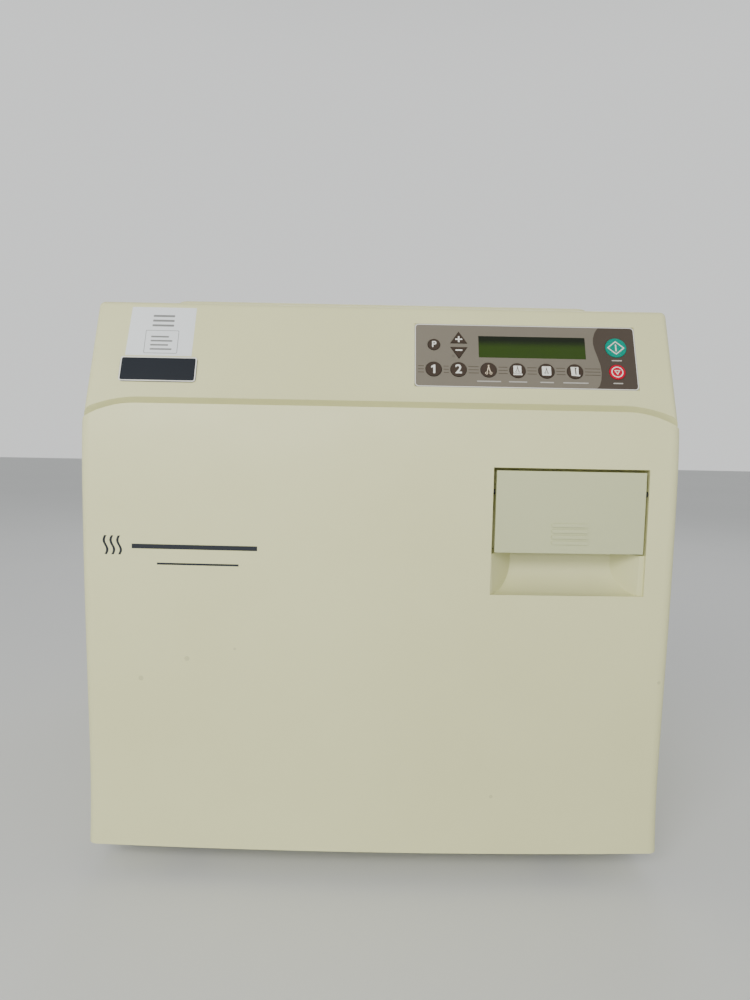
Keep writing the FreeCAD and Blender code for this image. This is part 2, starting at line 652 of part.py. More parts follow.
def make_hood():
    outer = hood_form(0, HOOD_ROUND).common(arch(LIP_Z, HOOD_DROP))
    lip = edges_where(outer, lambda e: e.BoundBox.ZMax < LIP_Z + 0.5 and e.BoundBox.YMax < LIP_Y + 3
                      and e.BoundBox.XLength > ARCH_WIDTH / 2)
    outer = outer.makeChamfer(LIP_BEVEL, lip)
    sides = edges_where(outer, lambda e: e.BoundBox.XLength < 1 and e.BoundBox.ZMax > LIP_Z
                        and e.BoundBox.YMax < LIP_Y + HOOD_DEPTH - 1 and e.BoundBox.ZLength > 1)
    outer = outer.makeFillet(HOOD_EDGE, sides)
    inner = hood_form(MOULD, HOOD_ROUND - MOULD)
    hood = outer.cut(inner.common(arch(LIP_Z + LIP_FLOOR, HOOD_DROP)))
    rear_room = box(-HALF + MOULD, HALF - MOULD, WRAP_FRONT - 2, BIG, 0, LIP_Z + 30)
    hood = hood.cut(rear_room)
    return cut_all(hood, [pad_cut(-TOUCH_GAP / 2, -PAD_THICK, 5), pad_cut(PAD_EDGE, -BIG / 9, 5)])


def pad_disc(left, top, radius, n0, n1):
    return Part.makeCylinder(radius, n1 - n0, V(PAD_X0 + left * KEY_SPREAD, PAD_LIFT + PAD_HEIGHT - top, n0), V(0, 0, 1))


def pad_arrow(left, top, way, grow, n0, n1):
    """A triangle that points up the slope (way 1) or down it (way -1)."""
    x = PAD_X0 + left * KEY_SPREAD
    s = PAD_LIFT + PAD_HEIGHT - top
    half = ARROW_WIDTH / 2 + 1.6 * grow
    tip = s + way * (ARROW_HEIGHT / 2 + 2 * grow)
    foot = s - way * (ARROW_HEIGHT / 2 + grow)
    points = [V(x - half, foot, n0), V(x + half, foot, n0), V(x, tip, n0), V(x - half, foot, n0)]
    prism = Part.Face(Part.makePolygon(points)).extrude(V(0, 0, n1 - n0))
    return prism


def key_shapes(grow, n0, n1):
    """Every key's outline as a solid, by name, lying on the slope."""
    keys = {name: pad_disc(left, top, radius + grow, n0, n1) for name, left, top, radius in ROUND_KEYS}
    for name, left, top, way in ARROW_KEYS:
        keys[name] = pad_arrow(left, top, way, grow, n0, n1)
    return {name: on_slope(shape) for name, shape in keys.items()}


def screen_block(grow, n0, n1):
    left, top, width, height = SCREEN
    x = PAD_X0 + left * KEY_SPREAD
    s = PAD_LIFT + PAD_HEIGHT - top - height
    return on_slope(box(x - grow, x + width * KEY_SPREAD + grow, s - grow, s + height + grow, n0, n1))


def make_keypad_overlay():
    flat = box(PAD_X0, PAD_X0 + PAD_WIDTH, PAD_LIFT, PAD_LIFT + PAD_HEIGHT, -PAD_THICK, 0)
    flat = flat.makeFillet(PAD_CORNER - 1, edges_where(flat, lambda e: along(e, V(0, 0, 1))))
    cuts = list(key_shapes(KEY_GAP, -PAD_THICK - 1, 1).values())
    return cut_all(on_slope(flat), cuts + [screen_block(HOLE_GAP, -PAD_THICK - 1, 1)])


def make_control_board():
    board = on_slope(box(PAD_X0 + 8, PAD_X0 + PAD_WIDTH - 8, PAD_LIFT + 5, PAD_LIFT + PAD_HEIGHT - 5,
                         BOARD_N, BOARD_N + SHEET))
    chips = [on_slope(box(PAD_X0 + x, PAD_X0 + x + 14, PAD_LIFT + 20, PAD_LIFT + 34, BOARD_N - 2.5, BOARD_N))
             for x in (40, 80, 120)]
    return fuse([board] + chips)


def make_lcd_module():
    return screen_block(3, BOARD_N + SHEET, -PAD_THICK - TOUCH_GAP)


# ---- chamber and what it holds ----
def make_chamber_shell():
    outer = rod_y(0, MOUTH, HEAD_IN + CHAMBER_WALL, AXIS_Z, CHAMBER_RADIUS + CHAMBER_WALL)
    return outer.cut(rod_y(0, MOUTH - 1, HEAD_IN, AXIS_Z, CHAMBER_RADIUS))


def make_chamber_flange():
    return tube_y(0, MOUTH, MOUTH + FLANGE_THICK, AXIS_Z, FLANGE_RADIUS, CHAMBER_RADIUS + CHAMBER_WALL)


def make_jacket():
    return tube_y(0, MOUTH + FLANGE_THICK + 1, HEAD_IN, AXIS_Z, JACKET_RADIUS,
                  CHAMBER_RADIUS + CHAMBER_WALL + TOUCH_GAP).cut(steam_path(PIPE_RADIUS + TOUCH_GAP))


def make_saddles():
    saddles = []
    for y in (MOUTH + 70, HEAD_IN - 70):
        block = box(-SADDLE_HALF, SADDLE_HALF, y - 2, y + 2, BASE_TOP, AXIS_Z - JACKET_RADIUS * 0.55)
        foot = box(-SADDLE_HALF, SADDLE_HALF, y + 2, y + 20, BASE_TOP, BASE_TOP + 2)
        saddles.append(fuse([block, foot]).cut(rod_y(0, y - 30, y + 30, AXIS_Z, JACKET_RADIUS + TOUCH_GAP)))
    return saddles


def make_heater():
    z = AXIS_Z - math.sqrt(CHAMBER_RADIUS ** 2 - HEATER_SPREAD ** 2) + 3 * HEATER_RADIUS
    front = MOUTH + 60
    bend = Part.Arc(V(-HEATER_SPREAD, front, z), V(0, front - HEATER_SPREAD, z), V(HEATER_SPREAD, front, z))
    path = Part.Wire([Part.makeLine(V(-HEATER_SPREAD, HEAD_IN, z), V(-HEATER_SPREAD, front, z)), bend.toShape(),
                      Part.makeLine(V(HEATER_SPREAD, front, z), V(HEATER_SPREAD, HEAD_IN, z))])
    ring = Part.Wire(Part.makeCircle(HEATER_RADIUS, V(-HEATER_SPREAD, HEAD_IN, z), V(0, 1, 0)))
    return path.makePipeShell([ring], True, True)


def tray_floor(level):
    """Underside of a tray; the middle one lies on the chamber's axis."""
    return AXIS_Z - TRAY_RIM / 2 + (level - (TRAY_COUNT - 1) / 2) * TRAY_PITCH


def make_rack():
    """Two side sheets, their ledges and two ties, each a plain bar welded to the next."""
    y0, y1 = MOUTH + 15, HEAD_IN - 15
    low = tray_floor(0) - RACK_MARGIN
    high = tray_floor(TRAY_COUNT - 1) + TRAY_RIM + RACK_MARGIN
    bars = [box(RACK_HALF, RACK_HALF + RACK_SHEET, y0, y1, low, high)]
    bars += [box(RACK_HALF - LEDGE, RACK_HALF, y0, y1, tray_floor(n) - RACK_SHEET, tray_floor(n))
             for n in range(TRAY_COUNT)]
    ties = [box(-RACK_HALF, RACK_HALF, y, y + TIE_WIDTH, low, low + RACK_SHEET) for y in (y0, y1 - TIE_WIDTH)]
    return [side for bar in bars for side in both_sides(bar)] + ties


def make_tray(level):
    """A flat floor with four upright sides that meet at the corners."""
    half = RACK_HALF - TRAY_GAP
    y0, y1 = MOUTH + TRAY_SETBACK, HEAD_IN - TRAY_SETBACK
    z = tray_floor(level) + TOUCH_GAP
    rise = z + TRAY_SHEET
    floor = box(-half, half, y0, y1, z, rise)
    side = box(half - TRAY_SHEET, half, y0, y1, rise, z + TRAY_RIM)
    ends = [box(-half + TRAY_SHEET, half - TRAY_SHEET, y, y + TRAY_SHEET, rise, z + TRAY_RIM)
            for y in (y0, y1 - TRAY_SHEET)]
    return [floor] + both_sides(side) + ends


def make_probe():
    return rod_y(CHAMBER_RADIUS * 0.78, HEAD_IN - 55, HEAD_IN, AXIS_Z - CHAMBER_RADIUS * 0.2, 2.5)


# ---- water, steam and power ----
def steam_path(radius):
    """Riser from the top of the chamber to the tank."""
    return rod_z(0, PIPE_Y, AXIS_Z + CHAMBER_RADIUS + CHAMBER_WALL / 2, TANK_Z, radius)


def make_steam_pipe():
    shell = rod_y(0, MOUTH, HEAD_IN, AXIS_Z, CHAMBER_RADIUS + CHAMBER_WALL)
    return steam_path(PIPE_RADIUS).cut(shell).cut(
        rod_z(0, PIPE_Y, AXIS_Z, TANK_Z + 1, PIPE_RADIUS - 1.2))


def make_tank():
    y0 = FRONT + TANK_FRONT_INSET
    top = WRAP_TOP - SHEET - TANK_GAP
    outer = box(-TANK_HALF, TANK_HALF, y0, y0 + TANK_LENGTH, TANK_Z, top)
    outer = outer.makeFillet(8, edges_where(outer, lambda e: along(e, V(0, 0, 1))))
    inner = box(-TANK_HALF + TANK_WALL, TANK_HALF - TANK_WALL, y0 + TANK_WALL, y0 + TANK_LENGTH - TANK_WALL,
                TANK_Z + TANK_WALL, top - TANK_WALL)
    return outer.cut(inner).cut(rod_z(0, NECK_Y, top - 5, top + 1, NECK_RADIUS))


def make_neck():
    bottom = WRAP_TOP - SHEET - TANK_GAP - TANK_WALL
    top = BODY_HEIGHT + PLATEAU_RISE - MOULD - 1.5
    tube = rod_z(0, NECK_Y, bottom, top, NECK_RADIUS - TOUCH_GAP / 4)
    return tube.cut(rod_z(0, NECK_Y, bottom - 1, top + 1, NECK_BORE))


def make_coil():
    """Stainless coil lying in the tank, where spent steam condenses."""
    turn = min(22.0, (WRAP_TOP - SHEET - TANK_GAP - TANK_Z) / 2 - TANK_WALL - 5)
    helix = Part.makeHelix(12, 84, turn)
    ring = Part.Wire(Part.makeCircle(3, V(turn, 0, 0), V(0, 1, 0)))
    coil = Part.Wire(helix).makePipeShell([ring], True, True)
    coil.rotate(V(0, 0, 0), V(0, 1, 0), 90)
    coil.translate(V(40, FRONT + TANK_FRONT_INSET + TANK_LENGTH / 2,
                     (TANK_Z + WRAP_TOP - SHEET - TANK_GAP) / 2))
    return coil


def lid_outline(grow, z0, z1):
    x = LID_WIDTH / 2 + grow
    block = box(-x, x, NECK_Y - LID_LENGTH / 2 - grow, NECK_Y + LID_LENGTH / 2 + grow, z0, z1)
    return block.makeFillet(5 + grow, edges_where(block, lambda e: along(e, V(0, 0, 1))
                                                  and e.BoundBox.YMin < NECK_Y))


def lid_hinge(x0, x1, radius):
    return rod_x(x0, x1, NECK_Y + LID_LENGTH / 2 - LID_PIN_INSET,
                 BODY_HEIGHT + PLATEAU_RISE - LID_PIN_DEPTH, radius)


def make_reservoir_cover():
    y0 = LIP_Y + HOOD_DEPTH + 2
    z0 = WRAP_TOP + TOUCH_GAP
    z1 = BODY_HEIGHT + PLATEAU_RISE
    outer = box(-PLATEAU_HALF, PLATEAU_HALF, y0, y0 + PLATEAU_LENGTH, z0, z1)
    outer = outer.makeFillet(12, edges_where(outer, lambda e: along(e, V(0, 0, 1))))
    outer = outer.makeFillet(5, edges_where(outer, lambda e: e.BoundBox.ZMin > z1 - 0.5))
    inner = box(-PLATEAU_HALF + MOULD, PLATEAU_HALF - MOULD, y0 + MOULD, y0 + PLATEAU_LENGTH - MOULD,
                z0 - 1, z1 - MOULD)
    inner = inner.makeFillet(12 - MOULD, edges_where(inner, lambda e: along(e, V(0, 0, 1))))
    cover = outer.cut(inner).cut(lid_outline(LID_GAP, z0, z1 + 1))
    x = LID_WIDTH / 2 + LID_GAP
    back = NECK_Y + LID_LENGTH / 2
    ears = [box(side, side + MOULD, back - LID_PIN_INSET - 5, back + 4, z0 + 2, z1 - MOULD)
            for side in (-x - MOULD, x)]
    return fuse([cover] + ears).cut(lid_hinge(-x - MOULD - 1, x + MOULD + 1, LID_PIN + RUN_GAP))


def make_fill_lid():
    z1 = BODY_HEIGHT + PLATEAU_RISE
    lid = lid_outline(0, z1 - MOULD, z1)
    back = NECK_Y + LID_LENGTH / 2
    cheeks = [box(x, x + MOULD, back - LID_PIN_INSET - 3, back - 1, z1 - 8, z1 - MOULD)
              for x in (-LID_WIDTH / 2 + 0.5, LID_WIDTH / 2 - 0.5 - MOULD)]
    lid = fuse([lid] + cheeks)
    back_edge = edges_where(lid, lambda e: along(e, V(1, 0, 0)) and e.BoundBox.YMin > back - 0.1
                            and e.BoundBox.ZMin > z1 - 0.1)
    lid = lid.makeFillet(2.4, back_edge)
    finger = rod_x(-12, 12, NECK_Y - LID_LENGTH / 2 - 3, z1 + 3, 6)
    x = LID_WIDTH / 2 + LID_GAP
    trunnions = both_sides(lid_hinge(x - LID_GAP - 0.5 - MOULD, x + MOULD - 0.5, LID_PIN))
    return fuse([lid.cut(finger)] + trunnions)


def make_power_board():
    x = WRAP_HALF - SHEET - 14
    board = box(x, x + SHEET, -60, 140, 110, 235)
    relays = [box(x - 16, x, -45 + n * 45, -20 + n * 45, 130, 160) for n in range(4)]
    cans = [rod_x(x - 20, x, -35 + n * 60, 200, 11) for n in range(3)]
    return fuse([board] + relays + cans)


def make_transformer():
    x1 = WRAP_HALF - SHEET - 12
    core = box(x1 - 66, x1, 100, 156, BASE_TOP, BASE_TOP + 54)
    winding = box(x1 - 54, x1 - 12, 88, 168, BASE_TOP + 8, BASE_TOP + 46)
    return fuse([core, winding])


def make_valves():
    valves = []
    x = -WRAP_HALF + SHEET + 26
    for y in (-60, 0, 60):
        body = box(x - 15, x + 15, y - 15, y + 15, BASE_TOP, BASE_TOP + 16)
        valves.append(fuse([body, rod_z(x, y, BASE_TOP + 16, BASE_TOP + 52, 13),
                            rod_z(x, y, BASE_TOP + 52, BASE_TOP + 58, 5)]))
    return valves


def make_inlet():
    """Appliance inlet: a flanged shell with a socket and three blades."""
    y1 = PANEL_OUT + 3
    body = box(INLET_X - 25, INLET_X + 25, PANEL_IN - 24, PANEL_OUT, INLET_Z - 13, INLET_Z + 13)
    flange = box(INLET_X - 32, INLET_X + 32, PANEL_OUT, y1, INLET_Z - 17, INLET_Z + 17)
    socket = box(INLET_X - 14, INLET_X + 14, PANEL_IN - 16, y1 + 1, INLET_Z - 9, INLET_Z + 9)
    blades = [box(INLET_X + x - 1, INLET_X + x + 1, PANEL_IN - 16, PANEL_IN - 1, INLET_Z + z - 3, INLET_Z + z + 3)
              for x, z in ((-8, -2), (0, 3), (8, -2))]
    return fuse([fuse([body, flange]).cut(socket)] + blades)


def make_fuse_holders():
    return [fuse([rod_y(x, PANEL_IN - 24, PANEL_OUT, INLET_Z, FUSE_RADIUS),
                  rod_y(x, PANEL_OUT, PANEL_OUT + 5, INLET_Z, FUSE_RADIUS + 3)]) for x in FUSE_X]


def make_relief_valve():
    body = rod_y(RELIEF_X, PANEL_IN - 34, PANEL_OUT + 3, RELIEF_Z, RELIEF_RADIUS)
    seat = rod_y(RELIEF_X, PANEL_IN - 12, PANEL_IN - 3, RELIEF_Z, RELIEF_RADIUS + 4)
    return fuse([body, seat]).cut(rod_y(RELIEF_X, PANEL_IN - 10, PANEL_OUT + 4, RELIEF_Z, 3 + RUN_GAP))


def make_relief_pull():
    """Valve stem with its pull ring lying flat against the valve."""
    y = BACK - RING_WIRE
    stem = rod_y(RELIEF_X, PANEL_IN - 9, y + RING_WIRE, RELIEF_Z, 3)
    ring = Part.makeTorus(RING_RADIUS, RING_WIRE, V(RELIEF_X, y, RELIEF_Z - RING_RADIUS), V(0, 1, 0))
    return fuse([stem, ring])


def screw(direction, place):
    """Pan head at place, shank into the sheet behind it; direction points out of the head."""
    head = Part.makeCylinder(SCREW_HEAD, SCREW_HEAD_HEIGHT, place, direction)
    shank = Part.makeCylinder(SCREW_RADIUS, SHEET, place, direction.multiply(-1))
    return head.fuse(shank).removeSplitter()


def make_screws():
    screws = [screw(V(side, 0, 0), V(side * WRAP_HALF, y, z)) for y, z in side_screws() for side in (-1, 1)]
    return screws + [screw(V(0, 1, 0), V(x, PANEL_OUT, z)) for x, z in rear_screws()]


def make_nameplate():
    """Blank domed badge on the hood, left of the middle."""
    plate = box(BADGE_X, BADGE_X + BADGE_WIDTH, BADGE_LIFT, BADGE_LIFT + BADGE_HEIGHT, 0, 1.0)
    return on_slope(plate.makeFillet(3, edges_where(plate, lambda e: along(e, V(0, 0, 1)))))


def main():
    os.makedirs("parts", exist_ok=True)
    pieces = {
        "base_tray": make_base_tray(), "rubber_feet": make_feet(), "wrap_cover": make_wrap_cover(),
        "rear_panel": make_rear_panel(), "front_bulkhead": make_bulkhead(), "control_hood": make_hood(),
        "reservoir_cover": make_reservoir_cover(), "filler_neck": make_neck(), "reservoir_tank": make_tank(),
        "chamber_shell": make_chamber_shell(), "chamber_flange": make_chamber_flange(),
        "insulation_jacket": make_jacket(), "chamber_saddles": make_saddles(), "heating_element": make_heater(),
        "tray_rack": make_rack(), "condensing_coil": make_coil(), "steam_pipe": make_steam_pipe(),
        "solenoid_valves": make_valves(), "temperature_probe": make_probe(), "power_board": make_power_board(),
        "transformer": make_transformer(), "control_board": make_control_board(),
        "lcd_module": make_lcd_module(), "display_window": screen_block(0, -PAD_THICK, 0),
        "keypad_overlay": make_keypad_overlay(), "nameplate": make_nameplate(), "power_inlet": make_inlet(),
        "fuse_holders": make_fuse_holders(), "relief_valve": make_relief_valve(),
        "latch_catches": [make_catch(-1), make_catch(1)],
        "hinge_brackets": [make_hinge_bracket(-1), make_hinge_bracket(1)],
        "hinge_pins": [make_hinge_pin(-1), make_hinge_pin(1)], "cover_screws": make_screws(),
        "door_cover": make_door_cover(), "handle_well": make_handle_well(),
        "handle_pin": make_handle_pin(), "door_liner": make_door_liner(),
        "pressure_plate": make_pressure_plate(), "plate_gasket": make_plate_gasket(),
        "door_bridge": make_door_bridge(), "hinge_lugs": [make_hinge_lug(-1), make_hinge_lug(1)],
        "handle_flap": make_handle_flap(), "latch_shaft": make_latch_shaft(),
        "latch_hooks": [make_latch_hook(-1), make_latch_hook(1)], "fill_lid": make_fill_lid(),
        "relief_pull": make_relief_pull(),
    }
    pieces.update({"tray_%d" % (n + 1): make_tray(n) for n in range(TRAY_COUNT)})
    pieces.update(key_shapes(0, KEY_RAISE - KEY_THICK, KEY_RAISE))
    for name, shapes in pieces.items():
        export(name, shapes)


main()
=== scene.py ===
import json
import math

import bpy
from mathutils import Matrix, Vector


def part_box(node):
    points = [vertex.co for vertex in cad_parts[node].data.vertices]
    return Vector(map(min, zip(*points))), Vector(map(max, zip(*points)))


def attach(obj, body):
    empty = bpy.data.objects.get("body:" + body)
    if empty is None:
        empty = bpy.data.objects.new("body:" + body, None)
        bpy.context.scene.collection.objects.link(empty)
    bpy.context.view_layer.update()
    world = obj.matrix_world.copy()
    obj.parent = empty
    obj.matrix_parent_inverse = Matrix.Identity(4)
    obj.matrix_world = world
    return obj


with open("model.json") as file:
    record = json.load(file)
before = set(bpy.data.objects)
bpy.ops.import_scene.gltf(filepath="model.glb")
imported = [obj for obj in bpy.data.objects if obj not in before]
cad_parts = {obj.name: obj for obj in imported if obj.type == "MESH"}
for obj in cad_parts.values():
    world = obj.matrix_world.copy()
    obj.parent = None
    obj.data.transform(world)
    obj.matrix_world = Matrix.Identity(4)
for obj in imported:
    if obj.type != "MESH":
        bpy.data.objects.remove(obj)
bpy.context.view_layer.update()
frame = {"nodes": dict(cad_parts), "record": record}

MM = 0.001

# ---------------------------------------------------------------- places read from the frame
DOOR_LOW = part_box("door_cover")[0]
HOOD_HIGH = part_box("control_hood")[1]
PAD_LOW, PAD_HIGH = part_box("keypad_overlay")
BADGE_LOW, BADGE_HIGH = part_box("nameplate")

SLOPE = math.radians(22)                       # the hood's face, from upright
UP_SLOPE = Vector((0, math.sin(SLOPE), math.cos(SLOPE)))
OFF_SLOPE = Vector((0, -math.cos(SLOPE), math.sin(SLOPE)))


# ---------------------------------------------------------------- node helpers
def new_group(name, inputs, outputs):
    """A shader node group with named sockets; returns its tree, its input node and its output node."""
    tree = bpy.data.node_groups.new(name, "ShaderNodeTree")
    for label, kind, value in inputs:
        socket = tree.interface.new_socket(name=label, in_out="INPUT", socket_type=kind)
        if value is not None:
            socket.default_value = value
    for label, kind in outputs:
        tree.interface.new_socket(name=label, in_out="OUTPUT", socket_type=kind)
    return tree, tree.nodes.new("NodeGroupInput"), tree.nodes.new("NodeGroupOutput")


def noise(tree, vector, scale, detail=3.0, rough=0.55):
    """Noise factor; the scale is a number or a socket."""
    node = tree.nodes.new("ShaderNodeTexNoise")
    node.inputs["Detail"].default_value = detail
    node.inputs["Roughness"].default_value = rough
    tree.links.new(vector, node.inputs["Vector"])
    if isinstance(scale, (int, float)):
        node.inputs["Scale"].default_value = scale
    else:
        tree.links.new(scale, node.inputs["Scale"])
    return node.outputs["Fac"]


def maths(tree, kind, a, b=None):
    """One sum on numbers or sockets."""
    node = tree.nodes.new("ShaderNodeMath")
    node.operation = kind
    for place, value in enumerate((a, b)):
        if value is None:
            continue
        if isinstance(value, (int, float)):
            node.inputs[place].default_value = value
        else:
            tree.links.new(value, node.inputs[place])
    return node.outputs[0]


def remap(tree, value, low, high, to_low=0.0, to_high=1.0, smooth=False):
    """A value carried from one range to another; the ends are numbers or sockets."""
    node = tree.nodes.new("ShaderNodeMapRange")
    node.interpolation_type = "SMOOTHSTEP" if smooth else "LINEAR"
    tree.links.new(value, node.inputs["Value"])
    ends = (("From Min", low), ("From Max", high), ("To Min", to_low), ("To Max", to_high))
    for label, number in ends:
        if isinstance(number, (int, float)):
            node.inputs[label].default_value = number
        else:
            tree.links.new(number, node.inputs[label])
    return node.outputs["Result"]


def blend_colour(tree, mask, a, b):
    """Colour a where the mask is 0, b where it is 1."""
    node = tree.nodes.new("ShaderNodeMix")
    node.data_type = "RGBA"
    node.clamp_factor = True
    sockets = [s for s in node.inputs if s.type == "RGBA"]
    factor = next(s for s in node.inputs if s.name == "Factor" and s.type == "VALUE")
    for socket, value in ((factor, mask), (sockets[0], a), (sockets[1], b)):
        if isinstance(value, (int, float)):
            socket.default_value = value
        elif isinstance(value, (tuple, list)):
            socket.default_value = (*value[:3], 1.0)
        else:
            tree.links.new(value, socket)
    return next(s for s in node.outputs if s.type == "RGBA")


def bump(tree, height, strength, distance):
    """Normal from a height."""
    node = tree.nodes.new("ShaderNodeBump")
    node.inputs["Strength"].default_value = strength
    node.inputs["Distance"].default_value = distance
    tree.links.new(height, node.inputs["Height"])
    return node.outputs["Normal"]


# ---------------------------------------------------------------- shared effects
SMEAR_SHARE = 4.3                              # scale of the finger smears, over the drift's
COARSE_SHARE = 0.35                            # scale of the grain's coarse part, over its fine part's
SPECK_RADIUS = 0.11                            # of the cell that a speck sits in


def make_mottle():
    """Slow drift of colour and gloss over a surface, with finger smudges."""
    tree, into, out = new_group(
        "mottle",
        [("Vector", "NodeSocketVector", None), ("Colour", "NodeSocketColor", (0.5, 0.5, 0.5, 1)),
         ("Shade", "NodeSocketColor", (0.4, 0.4, 0.4, 1)), ("Amount", "NodeSocketFloat", 0.5),
         ("Size", "NodeSocketFloat", 6.0), ("Gloss low", "NodeSocketFloat", 0.35),
         ("Gloss high", "NodeSocketFloat", 0.5)],
        [("Colour", "NodeSocketColor"), ("Roughness", "NodeSocketFloat")])
    slow = noise(tree, into.outputs["Vector"], into.outputs["Size"], 4.0)
    drift = remap(tree, slow, 0.35, 0.7, smooth=True)
    weight = maths(tree, "MULTIPLY", drift, into.outputs["Amount"])
    colour = blend_colour(tree, weight, into.outputs["Colour"], into.outputs["Shade"])
    smear_size = maths(tree, "MULTIPLY", into.outputs["Size"], SMEAR_SHARE)
    smear = noise(tree, into.outputs["Vector"], smear_size, 5.0, 0.65)
    rough = remap(tree, smear, 0.3, 0.7, into.outputs["Gloss low"], into.outputs["Gloss high"], smooth=True)
    tree.links.new(colour, out.inputs["Colour"])
    tree.links.new(rough, out.inputs["Roughness"])
    return tree


def make_specks():
    """Sparse small marks: 1 on a mark, 0 elsewhere."""
    tree, into, out = new_group(
        "specks",
        [("Vector", "NodeSocketVector", None), ("Size", "NodeSocketFloat", 60.0),
         ("Share", "NodeSocketFloat", 0.1)],
        [("Mask", "NodeSocketFloat")])
    cells = tree.nodes.new("ShaderNodeTexVoronoi")
    tree.links.new(into.outputs["Vector"], cells.inputs["Vector"])
    tree.links.new(into.outputs["Size"], cells.inputs["Scale"])
    chosen = tree.nodes.new("ShaderNodeSeparateColor")
    tree.links.new(cells.outputs["Color"], chosen.inputs["Color"])
    near = maths(tree, "LESS_THAN", cells.outputs["Distance"], SPECK_RADIUS)
    picked = maths(tree, "LESS_THAN", chosen.outputs["Red"], into.outputs["Share"])
    tree.links.new(maths(tree, "MULTIPLY", near, picked), out.inputs["Mask"])
    return tree


def make_grain():
    """Fine moulded or sprayed texture as a height."""
    tree, into, out = new_group(
        "grain", [("Vector", "NodeSocketVector", None), ("Size", "NodeSocketFloat", 900.0)],
        [("Height", "NodeSocketFloat")])
    fine = noise(tree, into.outputs["Vector"], into.outputs["Size"], 2.0)
    coarse_size = maths(tree, "MULTIPLY", into.outputs["Size"], COARSE_SHARE)
    coarse = noise(tree, into.outputs["Vector"], coarse_size, 2.0)
    total = maths(tree, "ADD", maths(tree, "MULTIPLY", fine, 0.6), maths(tree, "MULTIPLY", coarse, 0.4))
    tree.links.new(total, out.inputs["Height"])
    return tree


def make_brushing():
    """Straight hairline scratches along X, Y or Z as set by the stretch."""
    tree, into, out = new_group(
        "brushing", [("Vector", "NodeSocketVector", None), ("Stretch", "NodeSocketVector", (1, 1, 1))],
        [("Height", "NodeSocketFloat"), ("Mask", "NodeSocketFloat")])
    scaled = tree.nodes.new("ShaderNodeVectorMath")
    scaled.operation = "MULTIPLY"
    tree.links.new(into.outputs["Vector"], scaled.inputs[0])
    tree.links.new(into.outputs["Stretch"], scaled.inputs[1])
    lines = noise(tree, scaled.outputs[0], 1.0, 4.0, 0.7)
    tree.links.new(lines, out.inputs["Height"])
    tree.links.new(remap(tree, lines, 0.4, 0.62, smooth=True), out.inputs["Mask"])
    return tree


MOTTLE = make_mottle()
SPECKS = make_specks()
GRAIN = make_grain()
BRUSHING = make_brushing()


def use(tree, group, **values):
    """Place a group in a tree; keyword names use _ for a space."""
    node = tree.nodes.new("ShaderNodeGroup")
    node.node_tree = group
    for label, value in values.items():
        socket = node.inputs[label.replace("_", " ")]
        if isinstance(value, (int, float)):
            socket.default_value = value
        elif isinstance(value, (tuple, list)):
            socket.default_value = (*value, 1.0) if socket.type == "RGBA" and len(value) == 3 else value
        else:
            tree.links.new(value, socket)
    return node.outputs


def srgb(red, green, blue):
    """Screen colour, 0 to 255, as the linear values that a shader takes."""
    def linear(step):
        share = step / 255
        return share / 12.92 if share <= 0.04045 else ((share + 0.055) / 1.055) ** 2.4
    return (linear(red), linear(green), linear(blue))


def start(name):
    """A material with only its shader; returns material, tree, shader and object coordinates."""
    material = bpy.data.materials.new(name)
    material.use_nodes = True
    tree = material.node_tree
    shader = tree.nodes["Principled BSDF"]
    coords = tree.nodes.new("ShaderNodeTexCoord").outputs["Object"]
    return material, tree, shader, coords


def finish_with(tree, shader, colour, rough, normal=None):
    """Link what varies to the shader."""
    tree.links.new(colour, shader.inputs["Base Color"])
    tree.links.new(rough, shader.inputs["Roughness"])
    if normal is not None:
        tree.links.new(normal, shader.inputs["Normal"])


# ---------------------------------------------------------------- finishes
GRAIN_BUMP = 0.0004                            # metres
HAIRLINE_BUMP = 0.0002
CELL_HALF = 0.0026                             # half the pitch of the display's cells


def moulded(name, colour, shade, grain_size=700.0, depth=0.12, gloss=(0.34, 0.46), specks=0.05,
            shine=0.45):
    """Fine-textured moulded plastic with drift, smudges and a few small dark marks."""
    material, tree, shader, coords = start(name)
    base = use(tree, MOTTLE, Vector=coords, Colour=colour, Shade=shade, Amount=0.55, Size=5.0,
               Gloss_low=gloss[0], Gloss_high=gloss[1])
    marks = use(tree, SPECKS, Vector=coords, Size=55.0, Share=specks)["Mask"]
    dirt = blend_colour(tree, maths(tree, "MULTIPLY", marks, 0.35), base["Colour"],
                        tuple(0.45 * part for part in colour))
    height = use(tree, GRAIN, Vector=coords, Size=grain_size)["Height"]
    finish_with(tree, shader, dirt, base["Roughness"], bump(tree, height, depth, GRAIN_BUMP))
    shader.inputs["Specular IOR Level"].default_value = shine
    return material


def metal(name, colour, stretch, gloss=(0.22, 0.38), depth=0.08):
    """Sheet or bar metal with hairline brushing."""
    material, tree, shader, coords = start(name)
    lines = use(tree, BRUSHING, Vector=coords, Stretch=stretch)
    base = use(tree, MOTTLE, Vector=coords, Colour=colour, Shade=tuple(0.8 * part for part in colour),
               Amount=0.6, Size=9.0, Gloss_low=gloss[0], Gloss_high=gloss[1])
    shaded = blend_colour(tree, maths(tree, "MULTIPLY", lines["Mask"], 0.25), base["Colour"],
                          tuple(0.7 * part for part in colour))
    finish_with(tree, shader, shaded, base["Roughness"],
                bump(tree, lines["Height"], depth, HAIRLINE_BUMP))
    shader.inputs["Metallic"].default_value = 1.0
    return material


